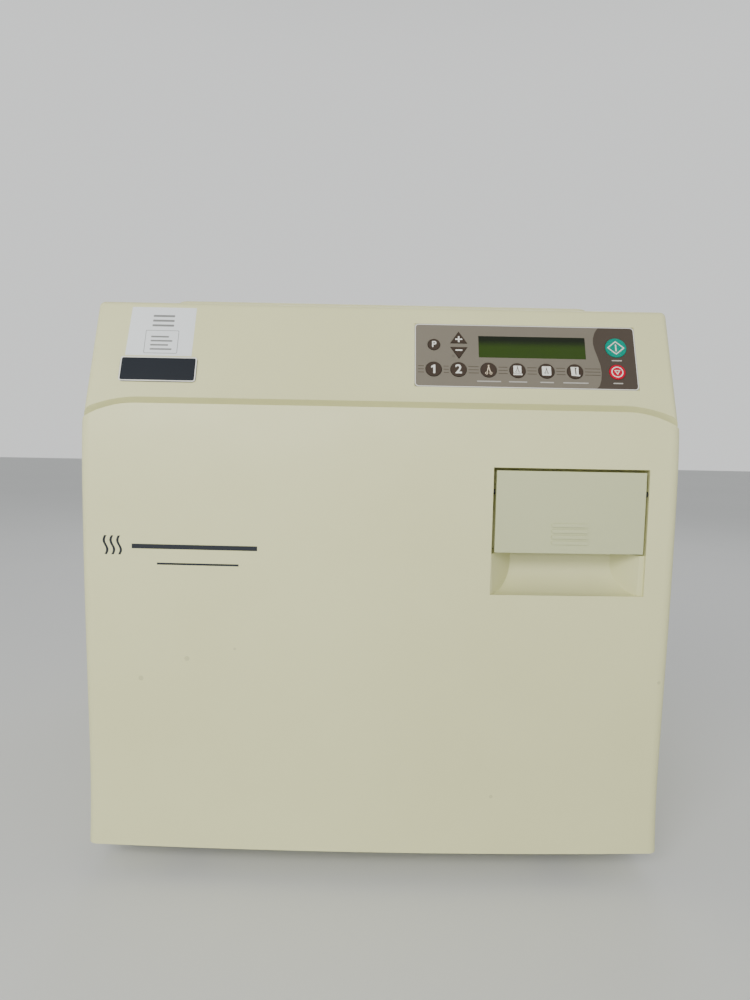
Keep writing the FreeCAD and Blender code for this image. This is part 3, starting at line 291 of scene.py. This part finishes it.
def window_finish():
    """Tinted display window: olive green with faint cell rows, and a painted shadow, near black, under its
    upper edge.
    """
    material, tree, shader, coords = start("window_tint")
    low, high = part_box("display_window")
    split = tree.nodes.new("ShaderNodeSeparateXYZ")
    tree.links.new(coords, split.inputs[0])
    green_top = low.z + 0.45 * (high.z - low.z)
    # painted shadow: the colour fades to near black towards the window's upper edge, where the overlay's
    # edge would shade it
    painted_shadow_mask = remap(tree, split.outputs["Z"], green_top, high.z - 0.002, smooth=True)
    drift = remap(tree, noise(tree, coords, 30.0), 0.35, 0.65, 0.0, 0.25)
    green = blend_colour(tree, drift, srgb(44, 66, 8), srgb(34, 54, 8))
    # near black here is the painted shadow under the upper edge
    colour = blend_colour(tree, painted_shadow_mask, green, srgb(12, 18, 6))
    cells = maths(tree, "PINGPONG", split.outputs["X"], CELL_HALF)
    rows = remap(tree, cells, 0.0001, 0.0006)
    shaded = blend_colour(tree, maths(tree, "MULTIPLY", rows, 0.12), srgb(30, 46, 10), colour)
    final = blend_colour(tree, 0.85, shaded, colour)
    rough = remap(tree, noise(tree, coords, 60.0), 0.3, 0.7, 0.12, 0.24)
    finish_with(tree, shader, final, rough,
                bump(tree, noise(tree, coords, 900.0), 0.02, HAIRLINE_BUMP))
    return material


CREAM = srgb(216, 216, 166)
CREAM_SHADE = srgb(209, 208, 157)

# a moulded one: colour, shade, grain size, grain depth, gloss range, share of specks, shine
# a metal one: colour, stretch of its brushing, gloss range, depth
FINISH_ROWS = (
    (moulded, "cream_plastic", CREAM, CREAM_SHADE),
    (moulded, "flap_plastic", srgb(190, 194, 152), srgb(183, 186, 145), 700.0, 0.12, (0.4, 0.5)),
    (moulded, "painted_sheet", srgb(211, 209, 166), srgb(204, 201, 157), 260.0, 0.2, (0.38, 0.5)),
    (metal, "galvanised", (0.55, 0.56, 0.57), (40.0, 40.0, 40.0), (0.35, 0.5), 0.05),
    (metal, "stainless", (0.60, 0.60, 0.58), (900.0, 12.0, 900.0)),
    (metal, "polished_stainless", (0.68, 0.68, 0.66), (500.0, 30.0, 500.0), (0.12, 0.22), 0.03),
    (metal, "tray_aluminium", (0.74, 0.74, 0.75), (900.0, 14.0, 900.0), (0.28, 0.42)),
    (moulded, "rubber_black", (0.02, 0.02, 0.02), (0.035, 0.035, 0.035), 500.0, 0.3, (0.7, 0.85), 0.0),
    (moulded, "silicone_white", srgb(208, 200, 186), srgb(196, 186, 170), 400.0, 0.1, (0.45, 0.6)),
    (moulded, "insulation", srgb(214, 208, 190), srgb(190, 182, 160), 250.0, 0.9, (0.85, 0.95)),
    (moulded, "tank_plastic", srgb(224, 226, 222), srgb(214, 215, 208), 300.0, 0.1, (0.3, 0.45)),
    (metal, "brass", (0.56, 0.38, 0.13), (300.0, 300.0, 20.0), (0.25, 0.4)),
    (metal, "copper_wire", (0.40, 0.17, 0.07), (20.0, 900.0, 20.0), (0.3, 0.45)),
    (moulded, "board_green", (0.012, 0.09, 0.03), (0.02, 0.13, 0.05), 500.0, 0.1, (0.25, 0.35), 0.3),
    (moulded, "black_plastic", (0.012, 0.012, 0.013), (0.02, 0.02, 0.02), 700.0, 0.2, (0.4, 0.55), 0.0),
    (moulded, "overlay_taupe", srgb(116, 110, 98), srgb(110, 104, 93), 1500.0, 0.05, (0.4, 0.5), 0.05,
     0.25),
    (moulded, "lcd_green", srgb(50, 70, 30), srgb(44, 62, 26), 900.0, 0.05, (0.3, 0.4), 0.0),
    (moulded, "key_dark", srgb(62, 52, 43), srgb(56, 46, 38), 1500.0, 0.05, (0.38, 0.48), 0.0, 0.2),
    (moulded, "key_teal", srgb(0, 138, 118), srgb(0, 126, 108), 1500.0, 0.05, (0.35, 0.45), 0.0, 0.15),
    (moulded, "key_red", srgb(188, 0, 46), srgb(174, 0, 40), 1500.0, 0.05, (0.35, 0.45), 0.0, 0.15),
    (moulded, "badge_slate", srgb(24, 29, 37), srgb(20, 25, 32), 600.0, 0.05, (0.4, 0.5), 0.0, 0.2),
)
FINISHES = {name: maker(name, *values) for maker, name, *values in FINISH_ROWS}
FINISHES["window_tint"] = window_finish()


def dress_cad_nodes():
    """Every carried-over piece takes the finish of its slot."""
    for row in frame["record"]["subparts"]:
        thing = frame["nodes"][row["node"]]
        thing.data.materials.clear()
        thing.data.materials.append(FINISHES[row["material_slot"]])


dress_cad_nodes()


# ---------------------------------------------------------------- printed and applied flat work
# all in millimetres; a lift is the height of a print's middle over the face that it lies on
PRINT_THICK = 0.03
FIGURE_WEIGHT = 0.02                           # a figure's added boldness, over its size
PRINT_LIFT = 0.03
CAPTION_STEP = 0.02                            # captions over the guide lines
KEY_PRINT_LIFT = 0.02
OVER_PRINT_LIFT = 0.06                         # a print on another print
LAYER_STEP = 0.004                             # between crossing strokes of one picture
BADGE_PRINT_LIFT = 1.06                        # over the overlay's face, which the badge stands proud of
LABEL_LIFT = 0.05
LABEL_THICK = 0.08
LABEL_PRINT_LIFT = 0.12
DOOR_PRINT_LIFT = 0.04


def pad_plane():
    """The keypad overlay's upper left corner on its face, read from its box, and its height."""
    run = PAD_HIGH.y - PAD_LOW.y
    rise = PAD_HIGH.z - PAD_LOW.z
    lean, up = math.sin(SLOPE), math.cos(SLOPE)
    height = (rise * up - run * lean) / (up * up - lean * lean)
    return Vector((PAD_LOW.x, PAD_LOW.y + height * lean, PAD_HIGH.z)), height


PAD_TOP_LEFT, PAD_HEIGHT = pad_plane()


def on_slope(lift):
    """Matrix that lays flat work, drawn in millimetres right and up from the pad's corner, on the slope."""
    corner = PAD_TOP_LEFT + OFF_SLOPE * lift * MM
    turn = Matrix.Rotation(math.radians(90) - SLOPE, 4, "X")
    return Matrix.Translation(corner) @ turn @ Matrix.Scale(MM, 4)


def on_door(lift):
    """Matrix that lays flat work, drawn in millimetres right and up from the floor, before the door."""
    turn = Matrix.Rotation(math.radians(90), 4, "X")
    return Matrix.Translation((0, DOOR_LOW.y - lift * MM, 0)) @ turn @ Matrix.Scale(MM, 4)


def disc(x, y, radius, steps=40):
    """Outline of a circle."""
    turns = [2 * math.pi * step / steps for step in range(steps)]
    return [(x + radius * math.cos(turn), y + radius * math.sin(turn)) for turn in turns]


def bar(x0, y0, x1, y1):
    """Outline of an upright rectangle."""
    return [(x0, y0), (x1, y0), (x1, y1), (x0, y1)]


def rounded(x0, y0, x1, y1, radius, steps=6):
    """Outline of an upright rectangle with round corners."""
    corners = [(x1 - radius, y1 - radius, 0), (x0 + radius, y1 - radius, 90),
               (x0 + radius, y0 + radius, 180), (x1 - radius, y0 + radius, 270)]
    return [(x + radius * math.cos(math.radians(turn + 90 * step / steps)),
             y + radius * math.sin(math.radians(turn + 90 * step / steps)))
            for x, y, turn in corners for step in range(steps + 1)]


def stroke(x0, y0, x1, y1, width):
    """Outline of a straight line of a width."""
    length = math.hypot(x1 - x0, y1 - y0)
    across = (-(y1 - y0) / length * width / 2, (x1 - x0) / length * width / 2)
    return [(x0 + across[0], y0 + across[1]), (x1 + across[0], y1 + across[1]),
            (x1 - across[0], y1 - across[1]), (x0 - across[0], y0 - across[1])]


def place_flat(name, matrix, body, finish):
    """Turn the flat curve or text in hand into a mesh, put it in its place and hand it to its body."""
    bpy.ops.object.convert(target="MESH")
    piece = bpy.context.object
    piece.name = name
    piece.data.transform(matrix)
    bpy.ops.object.mode_set(mode="EDIT")
    bpy.ops.mesh.select_all(action="SELECT")
    bpy.ops.mesh.normals_make_consistent(inside=False)
    bpy.ops.object.mode_set(mode="OBJECT")
    piece.data.materials.clear()
    piece.data.materials.append(finish)
    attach(piece, body)
    return piece


def flat_work(name, outlines, matrix, finish, body="chassis", thick=PRINT_THICK):
    """Thin flat piece from closed outlines in millimetres; an outline inside another is a hole."""
    bpy.ops.object.select_all(action="DESELECT")
    bpy.ops.curve.primitive_bezier_circle_add()
    curve = bpy.context.object.data
    curve.splines.clear()
    curve.dimensions = "2D"
    curve.fill_mode = "BOTH"
    curve.extrude = thick / 2
    for outline in outlines:
        spline = curve.splines.new("POLY")
        spline.points.add(len(outline) - 1)
        for point, (x, y) in zip(spline.points, outline):
            point.co = (x, y, 0, 1)
        spline.use_cyclic_u = True
    return place_flat(name, matrix, body, finish)


def figure(name, text, size, x, y, matrix, finish, body):
    """A digit or letter centred on a key, a little bolder than its font."""
    bpy.ops.object.select_all(action="DESELECT")
    bpy.ops.object.text_add()
    words = bpy.context.object.data
    words.body = text
    words.size = size
    words.align_x = "CENTER"
    words.align_y = "CENTER"
    words.offset = FIGURE_WEIGHT * size
    words.extrude = PRINT_THICK / 2
    return place_flat(name, matrix @ Matrix.Translation((x, y, 0)), body, finish)


def ink(name, colour, rough=(0.4, 0.52)):
    """Flat print with hardly any texture."""
    return moulded(name, colour, tuple(0.93 * part for part in colour), 1500.0, 0.04, rough, 0.0, 0.2)


INK_WHITE = ink("ink_white", srgb(224, 224, 216))
INK_CREAM = ink("ink_cream", srgb(214, 198, 172))
INK_DARK = ink("ink_dark", srgb(62, 52, 43))
INK_BROWN = ink("ink_brown", srgb(72, 64, 56))
INK_GREY = ink("ink_grey", srgb(126, 128, 126))
INK_SOFT = ink("ink_soft_white", srgb(176, 173, 166))
INK_SLATE = ink("ink_slate", srgb(40, 44, 50))
LABEL_WHITE = ink("label_white", srgb(222, 226, 228), (0.3, 0.42))

PAD_WIDE = (PAD_HIGH.x - PAD_LOW.x) / MM
PAD_TALL = PAD_HEIGHT / MM

RIM_OUTER, RIM_OUTER_ROUND = 0.15, 3.0         # the white rim: from the overlay's edge, and corner radius
RIM_INNER, RIM_INNER_ROUND = 0.8, 2.4
FIELD_WAVE = [(141.2, -5.0), (139.6, -10.0), (139.3, -15.0), (140.2, -20.0), (142.2, -27.0), (143.9, -34.0),
              (144.3, -40.0), (143.6, -46.0), (142.0, -51.0)]
WAVE_TOP, WAVE_FOOT = 144.0, 139.6             # where the field's wavy edge meets the rim
KEY_HOLES = {"key_start": 8.5, "key_stop": 6.5}      # radius of the field's hole round each key
ROUND_KEYS = ("key_1", "key_2", "key_unwrapped", "key_pouches", "key_packs", "key_handpieces")
GUIDE_LEFT, GUIDE_RIGHT = 2.6, 143.4
GUIDE_PITCH = 2.7
GUIDE_HALF = 0.2                               # half a guide line's width
KEY_CLEAR = 7.6                                # a round key's middle to the end of a guide line
CAPTION_WIDTHS = {"key_unwrapped": 18.5, "key_pouches": 14.0, "key_packs": 10.5, "key_handpieces": 19.5,
                  "key_start": 8.0, "key_stop": 7.5}
CAPTION_DROP, START_CAPTION_DROP = 9.6, 11.0
CAPTION_HALF = 0.45


def key_spot(node):
    """Middle of a key on the overlay, in millimetres right and up from the overlay's upper left corner."""
    low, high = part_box(node)
    middle = (low + high) / 2 - PAD_TOP_LEFT
    return middle.x / MM, middle.dot(UP_SLOPE) / MM


def key_lift(node):
    """Height of a key's face over the overlay's face."""
    low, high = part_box(node)
    reach = (high - low).z / 2 / MM
    tall = (high - low).y / 2 / MM
    lean, up = math.sin(SLOPE), math.cos(SLOPE)
    thick = (tall * up - reach * lean) / (up * up - lean * lean)
    return ((low + high) / 2 - PAD_TOP_LEFT).dot(OFF_SLOPE) / MM + thick


def pad_outline(inset, radius):
    """The overlay's outline, drawn in by an inset."""
    return rounded(inset, -PAD_TALL + inset, PAD_WIDE - inset, -inset, radius)


def print_field():
    """The brown field at the overlay's right, with its wavy edge and a hole for each of its two keys."""
    right = PAD_WIDE - RIM_INNER
    corner = [(right - RIM_INNER_ROUND + RIM_INNER_ROUND * math.sin(math.radians(turn)),
               -RIM_INNER - RIM_INNER_ROUND + RIM_INNER_ROUND * math.cos(math.radians(turn)))
              for turn in range(0, 91, 15)]
    foot = [(x, -PAD_TALL - y) for x, y in reversed(corner)]
    wave = [(WAVE_TOP, -RIM_INNER)] + FIELD_WAVE + [(WAVE_FOOT, -PAD_TALL + RIM_INNER)]
    holes = [disc(*key_spot(node), radius) for node, radius in KEY_HOLES.items()]
    flat_work("overlay_field", [corner + foot + wave[::-1]] + holes, on_slope(PRINT_LIFT), INK_BROWN)


def print_guides():
    """Three guide lines through the row of round keys, broken at each key."""
    spots = [key_spot(node) for node in ROUND_KEYS]
    gaps = [edge for x, y in spots for edge in (x - KEY_CLEAR, x + KEY_CLEAR)]
    stops = [GUIDE_LEFT] + gaps + [GUIDE_RIGHT]
    row = spots[0][1]
    lines = [bar(begin, row + step - GUIDE_HALF, end, row + step + GUIDE_HALF)
             for begin, end in zip(stops[0::2], stops[1::2]) for step in (-GUIDE_PITCH, 0.0, GUIDE_PITCH)]
    flat_work("overlay_lines", lines, on_slope(PRINT_LIFT), INK_DARK)


def print_captions():
    """A blank bar in the place of each key's word."""
    bars = []
    for node, width in CAPTION_WIDTHS.items():
        x, y = key_spot(node)
        drop = START_CAPTION_DROP if node == "key_start" else CAPTION_DROP
        bars.append(rounded(x - width / 2, y - drop - CAPTION_HALF, x + width / 2, y - drop + CAPTION_HALF,
                            0.4, 3))
    flat_work("overlay_caption_bars", bars, on_slope(PRINT_LIFT + CAPTION_STEP), INK_SOFT)


def print_overlay():
    """White rim, brown field, guide lines and blank caption bars."""
    rim = [pad_outline(RIM_OUTER, RIM_OUTER_ROUND), pad_outline(RIM_INNER, RIM_INNER_ROUND)]
    flat_work("overlay_rim", rim, on_slope(PRINT_LIFT), INK_WHITE)
    print_field()
    print_guides()
    print_captions()


def forceps(x, y, size):
    """Open ring-handled forceps, points up, as strokes and rings."""
    ring = 0.24 * size
    left = (x - 0.36 * size, y - 0.66 * size)
    right = (x + 0.36 * size, y - 0.66 * size)
    return [[stroke(x - 0.06 * size, y + 0.85 * size, right[0] - 0.1 * size, right[1] + ring, 0.15 * size)],
            [stroke(x + 0.06 * size, y + 0.85 * size, left[0] + 0.1 * size, left[1] + ring, 0.15 * size)],
            [disc(*left, ring, 20), disc(*left, 0.6 * ring, 20)],
            [disc(*right, ring, 20), disc(*right, 0.6 * ring, 20)]]


# outlines drawn about a key's middle
ONE = [(-0.4, -3.6), (1.2, -3.6), (1.2, 3.7), (0.1, 3.7), (-2.0, 2.3), (-2.0, 0.9), (-0.4, 1.7)]
PLUS = [(-2.7, -2.0), (-0.6, -2.0), (-0.6, -4.0), (0.6, -4.0), (0.6, -2.0), (2.7, -2.0), (2.7, -0.9),
        (0.6, -0.9), (0.6, 1.2), (-0.6, 1.2), (-0.6, -0.9), (-2.7, -0.9)]
MINUS = bar(-2.6, 1.6, 2.6, 2.8)
POUCH = rounded(-3.2, -2.2, 2.9, 4.0, 0.6, 3)
POUCH_FOLD = rounded(-3.4, -3.9, 3.6, -2.6, 0.5, 3)
PACK = rounded(-3.5, -3.8, 3.5, 4.0, 0.8, 3)
LOOSE_SHEET = [(-3.4, 3.9), (2.6, 3.9), (2.6, -2.6), (3.7, -2.9), (3.4, -4.0), (-2.9, -3.6)]
HANDPIECE = [(-0.2, 3.2), (1.2, 3.2), (1.2, 2.5), (0.6, 2.3), (0.9, -2.6), (0.0, -2.6), (-0.1, 1.5)]
DIAMOND = [[(0, reach), (1.15 * reach, 0), (0, -reach), (-1.15 * reach, 0)] for reach in (5.9, 4.9)]
START_BAR = rounded(-0.5, -3.0, 0.5, 3.0, 0.4, 3)
RING = [disc(0, 0, radius) for radius in (4.6, 3.8)]
TRIANGLE = [[(-2.4, 1.6), (2.4, 1.6), (0, -2.5)], [(-1.25, 0.95), (1.25, 0.95), (0, -1.15)]]
FIGURES = (("key_p", "P", 7.2), ("key_2", "2", 10.5))


def print_on(node, tag, outlines, finish, lift=KEY_PRINT_LIFT):
    """Flat work on a key, from outlines drawn about its middle; it rides on the key."""
    x, y = key_spot(node)
    moved = [[(x + across, y + up) for across, up in outline] for outline in outlines]
    flat_work(node + "_" + tag, moved, on_slope(key_lift(node) + lift), finish, node)


def print_forceps(node, rise, size, finish, lift=KEY_PRINT_LIFT):
    """Forceps on a key, each stroke a hair above the one before."""
    for part, outlines in enumerate(forceps(0.0, rise, size)):
        print_on(node, "forceps_%d" % part, outlines, finish, lift + LAYER_STEP * part)


def print_keys():
    """Figures and small pictures on the keys."""
    for node, text, size in FIGURES:
        matrix = on_slope(key_lift(node) + KEY_PRINT_LIFT)
        figure(node + "_figure", text, size, *key_spot(node), matrix, INK_WHITE, node)
    print_on("key_1", "figure", [ONE], INK_WHITE)
    print_on("key_up", "plus", [PLUS], INK_WHITE)
    print_on("key_down", "minus", [MINUS], INK_WHITE)
    print_forceps("key_unwrapped", 0.3, 4.6, INK_CREAM)
    print_on("key_pouches", "sheet", [POUCH], INK_WHITE)
    print_on("key_pouches", "fold", [POUCH_FOLD], INK_WHITE)
    print_on("key_packs", "sheet", [PACK], INK_WHITE)
    print_forceps("key_pouches", 0.9, 3.0, INK_DARK, OVER_PRINT_LIFT)
    print_forceps("key_packs", 0.2, 3.0, INK_DARK, OVER_PRINT_LIFT)
    print_on("key_handpieces", "sheet", [LOOSE_SHEET], INK_WHITE)
    print_on("key_handpieces", "tool", [HANDPIECE], INK_DARK, OVER_PRINT_LIFT)
    print_on("key_start", "diamond", DIAMOND, INK_WHITE)
    print_on("key_start", "bar", [START_BAR], INK_WHITE)
    print_on("key_stop", "ring", RING, INK_WHITE)
    print_on("key_stop", "triangle", TRIANGLE, INK_WHITE)


BADGE_LEAN = 0.45                              # the badge's thickness lifts the top of its box by this
BADGE_RIM = ((0.1, 2.0), (1.0, 1.4))           # inset and corner radius of the rim's two outlines
LABEL_GAP = 0.9                                # over the badge
LABEL_TOP_GAP = 4.5                            # under the hood's top
MARK_LEFT = 19.5                               # from the door's side
WAVE_PITCH = 5.2
WAVE_LOW, WAVE_HIGH = 232.0, 246.5             # over the door's lower edge
WAVE_SWING, WAVE_WIDTH = 1.3, 1.9
MARK_BARS = ((20.0, 237.0, 115.0, 240.6), (39.0, 225.0, 101.0, 226.6))


def spot_on_slope(x, z):
    """Place on the hood's face at x and height z, in millimetres from the overlay's upper left corner."""
    return (x - PAD_TOP_LEFT.x) / MM, (z - PAD_TOP_LEFT.z) / math.cos(SLOPE) / MM


def dress_badge():
    """A pale raised rim on the blank badge."""
    left, low = spot_on_slope(BADGE_LOW.x, BADGE_LOW.z)
    right = (BADGE_HIGH.x - PAD_TOP_LEFT.x) / MM
    high = spot_on_slope(0, BADGE_HIGH.z)[1] - BADGE_LEAN
    rim = [rounded(left + inset, low + inset, right - inset, high - inset, radius)
           for inset, radius in BADGE_RIM]
    flat_work("badge_rim", rim, on_slope(BADGE_PRINT_LIFT), INK_WHITE)


def add_blank_label():
    """A plain stuck-on label with blank bars and a framed box, above the badge."""
    left = spot_on_slope(BADGE_LOW.x, 0)[0]
    low = spot_on_slope(0, BADGE_HIGH.z)[1] + LABEL_GAP
    top = spot_on_slope(0, HOOD_HIGH.z - LABEL_TOP_GAP * MM)[1]
    sheet = [(left + 2.6, low), (left + 54.0, low), (left + 54.4, top), (left + 3.8, top)]
    flat_work("blank_label", [sheet], on_slope(LABEL_LIFT), LABEL_WHITE,
              thick=LABEL_THICK)
    middle, tall = left + 30.0, top - low
    framed_top = low + 0.52 * tall
    lines = [rounded(middle - 13.5, low + 2.0, middle + 12.5, framed_top, 1.0),
             rounded(middle - 13.1, low + 2.4, middle + 12.1, framed_top - 0.4, 0.8)]
    for step in range(3):
        foot = low + 0.6 * tall + 4.2 * step
        lines.append(rounded(middle - 9.0, foot, middle + 8.0, foot + 1.8, 0.6))
    for step in range(4):
        end = middle + 8.0 - 3.0 * (step % 2)
        lines.append(rounded(middle - 9.0, low + 5.0 + 3.6 * step, end, low + 6.4 + 3.6 * step, 0.5))
    flat_work("blank_label_lines", lines, on_slope(LABEL_PRINT_LIFT), INK_GREY)


def wave_line(x, y0, y1, swing, width, steps=14):
    """Upright wavy line, drawn as a band."""
    def middle(step):
        share = step / steps
        return x + swing * math.sin(2 * math.pi * share), y0 + (y1 - y0) * share
    left = [(px - width / 2, py) for px, py in (middle(step) for step in range(steps + 1))]
    right = [(px + width / 2, py) for px, py in (middle(step) for step in range(steps + 1))]
    return left + right[::-1]


def long_bar(x0, y0, x1, y1, steps=10):
    """Bar in short lengths, end to end, so that it can follow a curved face."""
    step = (x1 - x0) / steps
    return [bar(x0 + step * part, y0, x0 + step * (part + 1), y1) for part in range(steps)]


RAY_START = 0.05                               # before the door, in metres


def settle_on_door(piece, lift):
    """Lay a flat piece on the door's curved face, keeping its own thickness."""
    door = frame["nodes"]["door_cover"]
    face = DOOR_LOW.y
    for point in piece.data.vertices:
        before = Vector((point.co.x, face - RAY_START, point.co.z))
        found, place = door.ray_cast(before, Vector((0, 1, 0)))[:2]
        if found:
            point.co.y += place.y - face - lift * MM
    piece.data.update()


def mark_door():
    """Wordless mark in the place of a name: three steam lines, a heavy bar and a light bar."""
    left = DOOR_LOW.x / MM + MARK_LEFT
    low = DOOR_LOW.z / MM
    waves = [wave_line(left + WAVE_PITCH * step, low + WAVE_LOW, low + WAVE_HIGH, WAVE_SWING, WAVE_WIDTH)
             for step in range(3)]
    bars = []
    for x0, y0, x1, y1 in MARK_BARS:
        bars += long_bar(left + x0, low + y0, left + x1, low + y1)
    for tag, outlines in (("waves", waves), ("bars", bars)):
        piece = flat_work("door_mark_" + tag, outlines, on_door(0.0), INK_SLATE, "door")
        settle_on_door(piece, DOOR_PRINT_LIFT)


print_overlay()
print_keys()
mark_door()
dress_badge()
add_blank_label()


# ---------------------------------------------------------------- stage
FLOOR_SIZE = 14
FLOOR_BACK = 3.0                               # the floor's middle, behind the object
LENS = 26.0                                    # on a sensor 36 wide
SENSOR = 36.0
EYE_X = -0.0043
EYE_BEFORE_DOOR = 0.5348
EYE_HEIGHT = 0.345
EYE_DOWN = 4.67                                # degrees
EYE_ROLL = -1.1


def add_floor():
    """A pale bench that runs far back."""
    bpy.ops.object.select_all(action="DESELECT")
    bpy.ops.mesh.primitive_plane_add(size=FLOOR_SIZE, location=(0, FLOOR_BACK, 0))
    floor = bpy.context.object
    floor.name = "floor"
    material, tree, shader, coords = start("floor_paper")
    base = use(tree, MOTTLE, Vector=coords, Colour=(0.66, 0.67, 0.67), Shade=(0.63, 0.64, 0.64), Amount=0.5,
               Size=0.8, Gloss_low=0.75, Gloss_high=0.85)
    finish_with(tree, shader, base["Colour"], base["Roughness"])
    floor.data.materials.append(material)


def add_light(name, place, target, size, power, colour=(1, 1, 1)):
    """A rectangular lamp that faces a target."""
    data = bpy.data.lights.new(name, "AREA")
    data.shape = "RECTANGLE"
    data.size, data.size_y = size
    data.energy = power
    data.color = colour
    lamp = bpy.data.objects.new(name, data)
    lamp.location = place
    lamp.rotation_euler = (Vector(target) - Vector(place)).to_track_quat("-Z", "Y").to_euler()
    bpy.context.scene.collection.objects.link(lamp)


def add_camera():
    """A close eye before the door, above its middle."""
    data = bpy.data.cameras.new("camera")
    data.lens = LENS
    data.sensor_width = SENSOR
    camera = bpy.data.objects.new("camera", data)
    camera.location = (EYE_X, DOOR_LOW.y - EYE_BEFORE_DOOR, EYE_HEIGHT)
    camera.rotation_euler = (math.radians(90 - EYE_DOWN), math.radians(EYE_ROLL), 0)
    bpy.context.scene.collection.objects.link(camera)
    bpy.context.scene.camera = camera


def set_world():
    """Pale surroundings, bright level with the object and dimmer overhead."""
    world = bpy.data.worlds.new("studio")
    world.use_nodes = True
    tree = world.node_tree
    split = tree.nodes.new("ShaderNodeSeparateXYZ")
    tree.links.new(tree.nodes.new("ShaderNodeTexCoord").outputs["Generated"], split.inputs[0])
    shade = remap(tree, split.outputs["Z"], 0.42, 0.85, 0.98, 0.40, smooth=True)
    tree.nodes["Background"].inputs["Color"].default_value = (0.95, 0.965, 0.96, 1)
    tree.links.new(shade, tree.nodes["Background"].inputs["Strength"])
    bpy.context.scene.world = world


add_floor()
set_world()
add_light("key", (-0.55, -1.75, 1.05), (0, -0.2, 0.28), (1.1, 0.5), 22, (1.0, 0.985, 0.95))
add_light("strip", (-0.35, -1.9, 0.62), (0, 0, 0.3), (1.5, 0.16), 6)
add_light("back", (0.2, 1.6, 1.9), (0, 0, 0.3), (1.8, 1.0), 12)
add_camera()
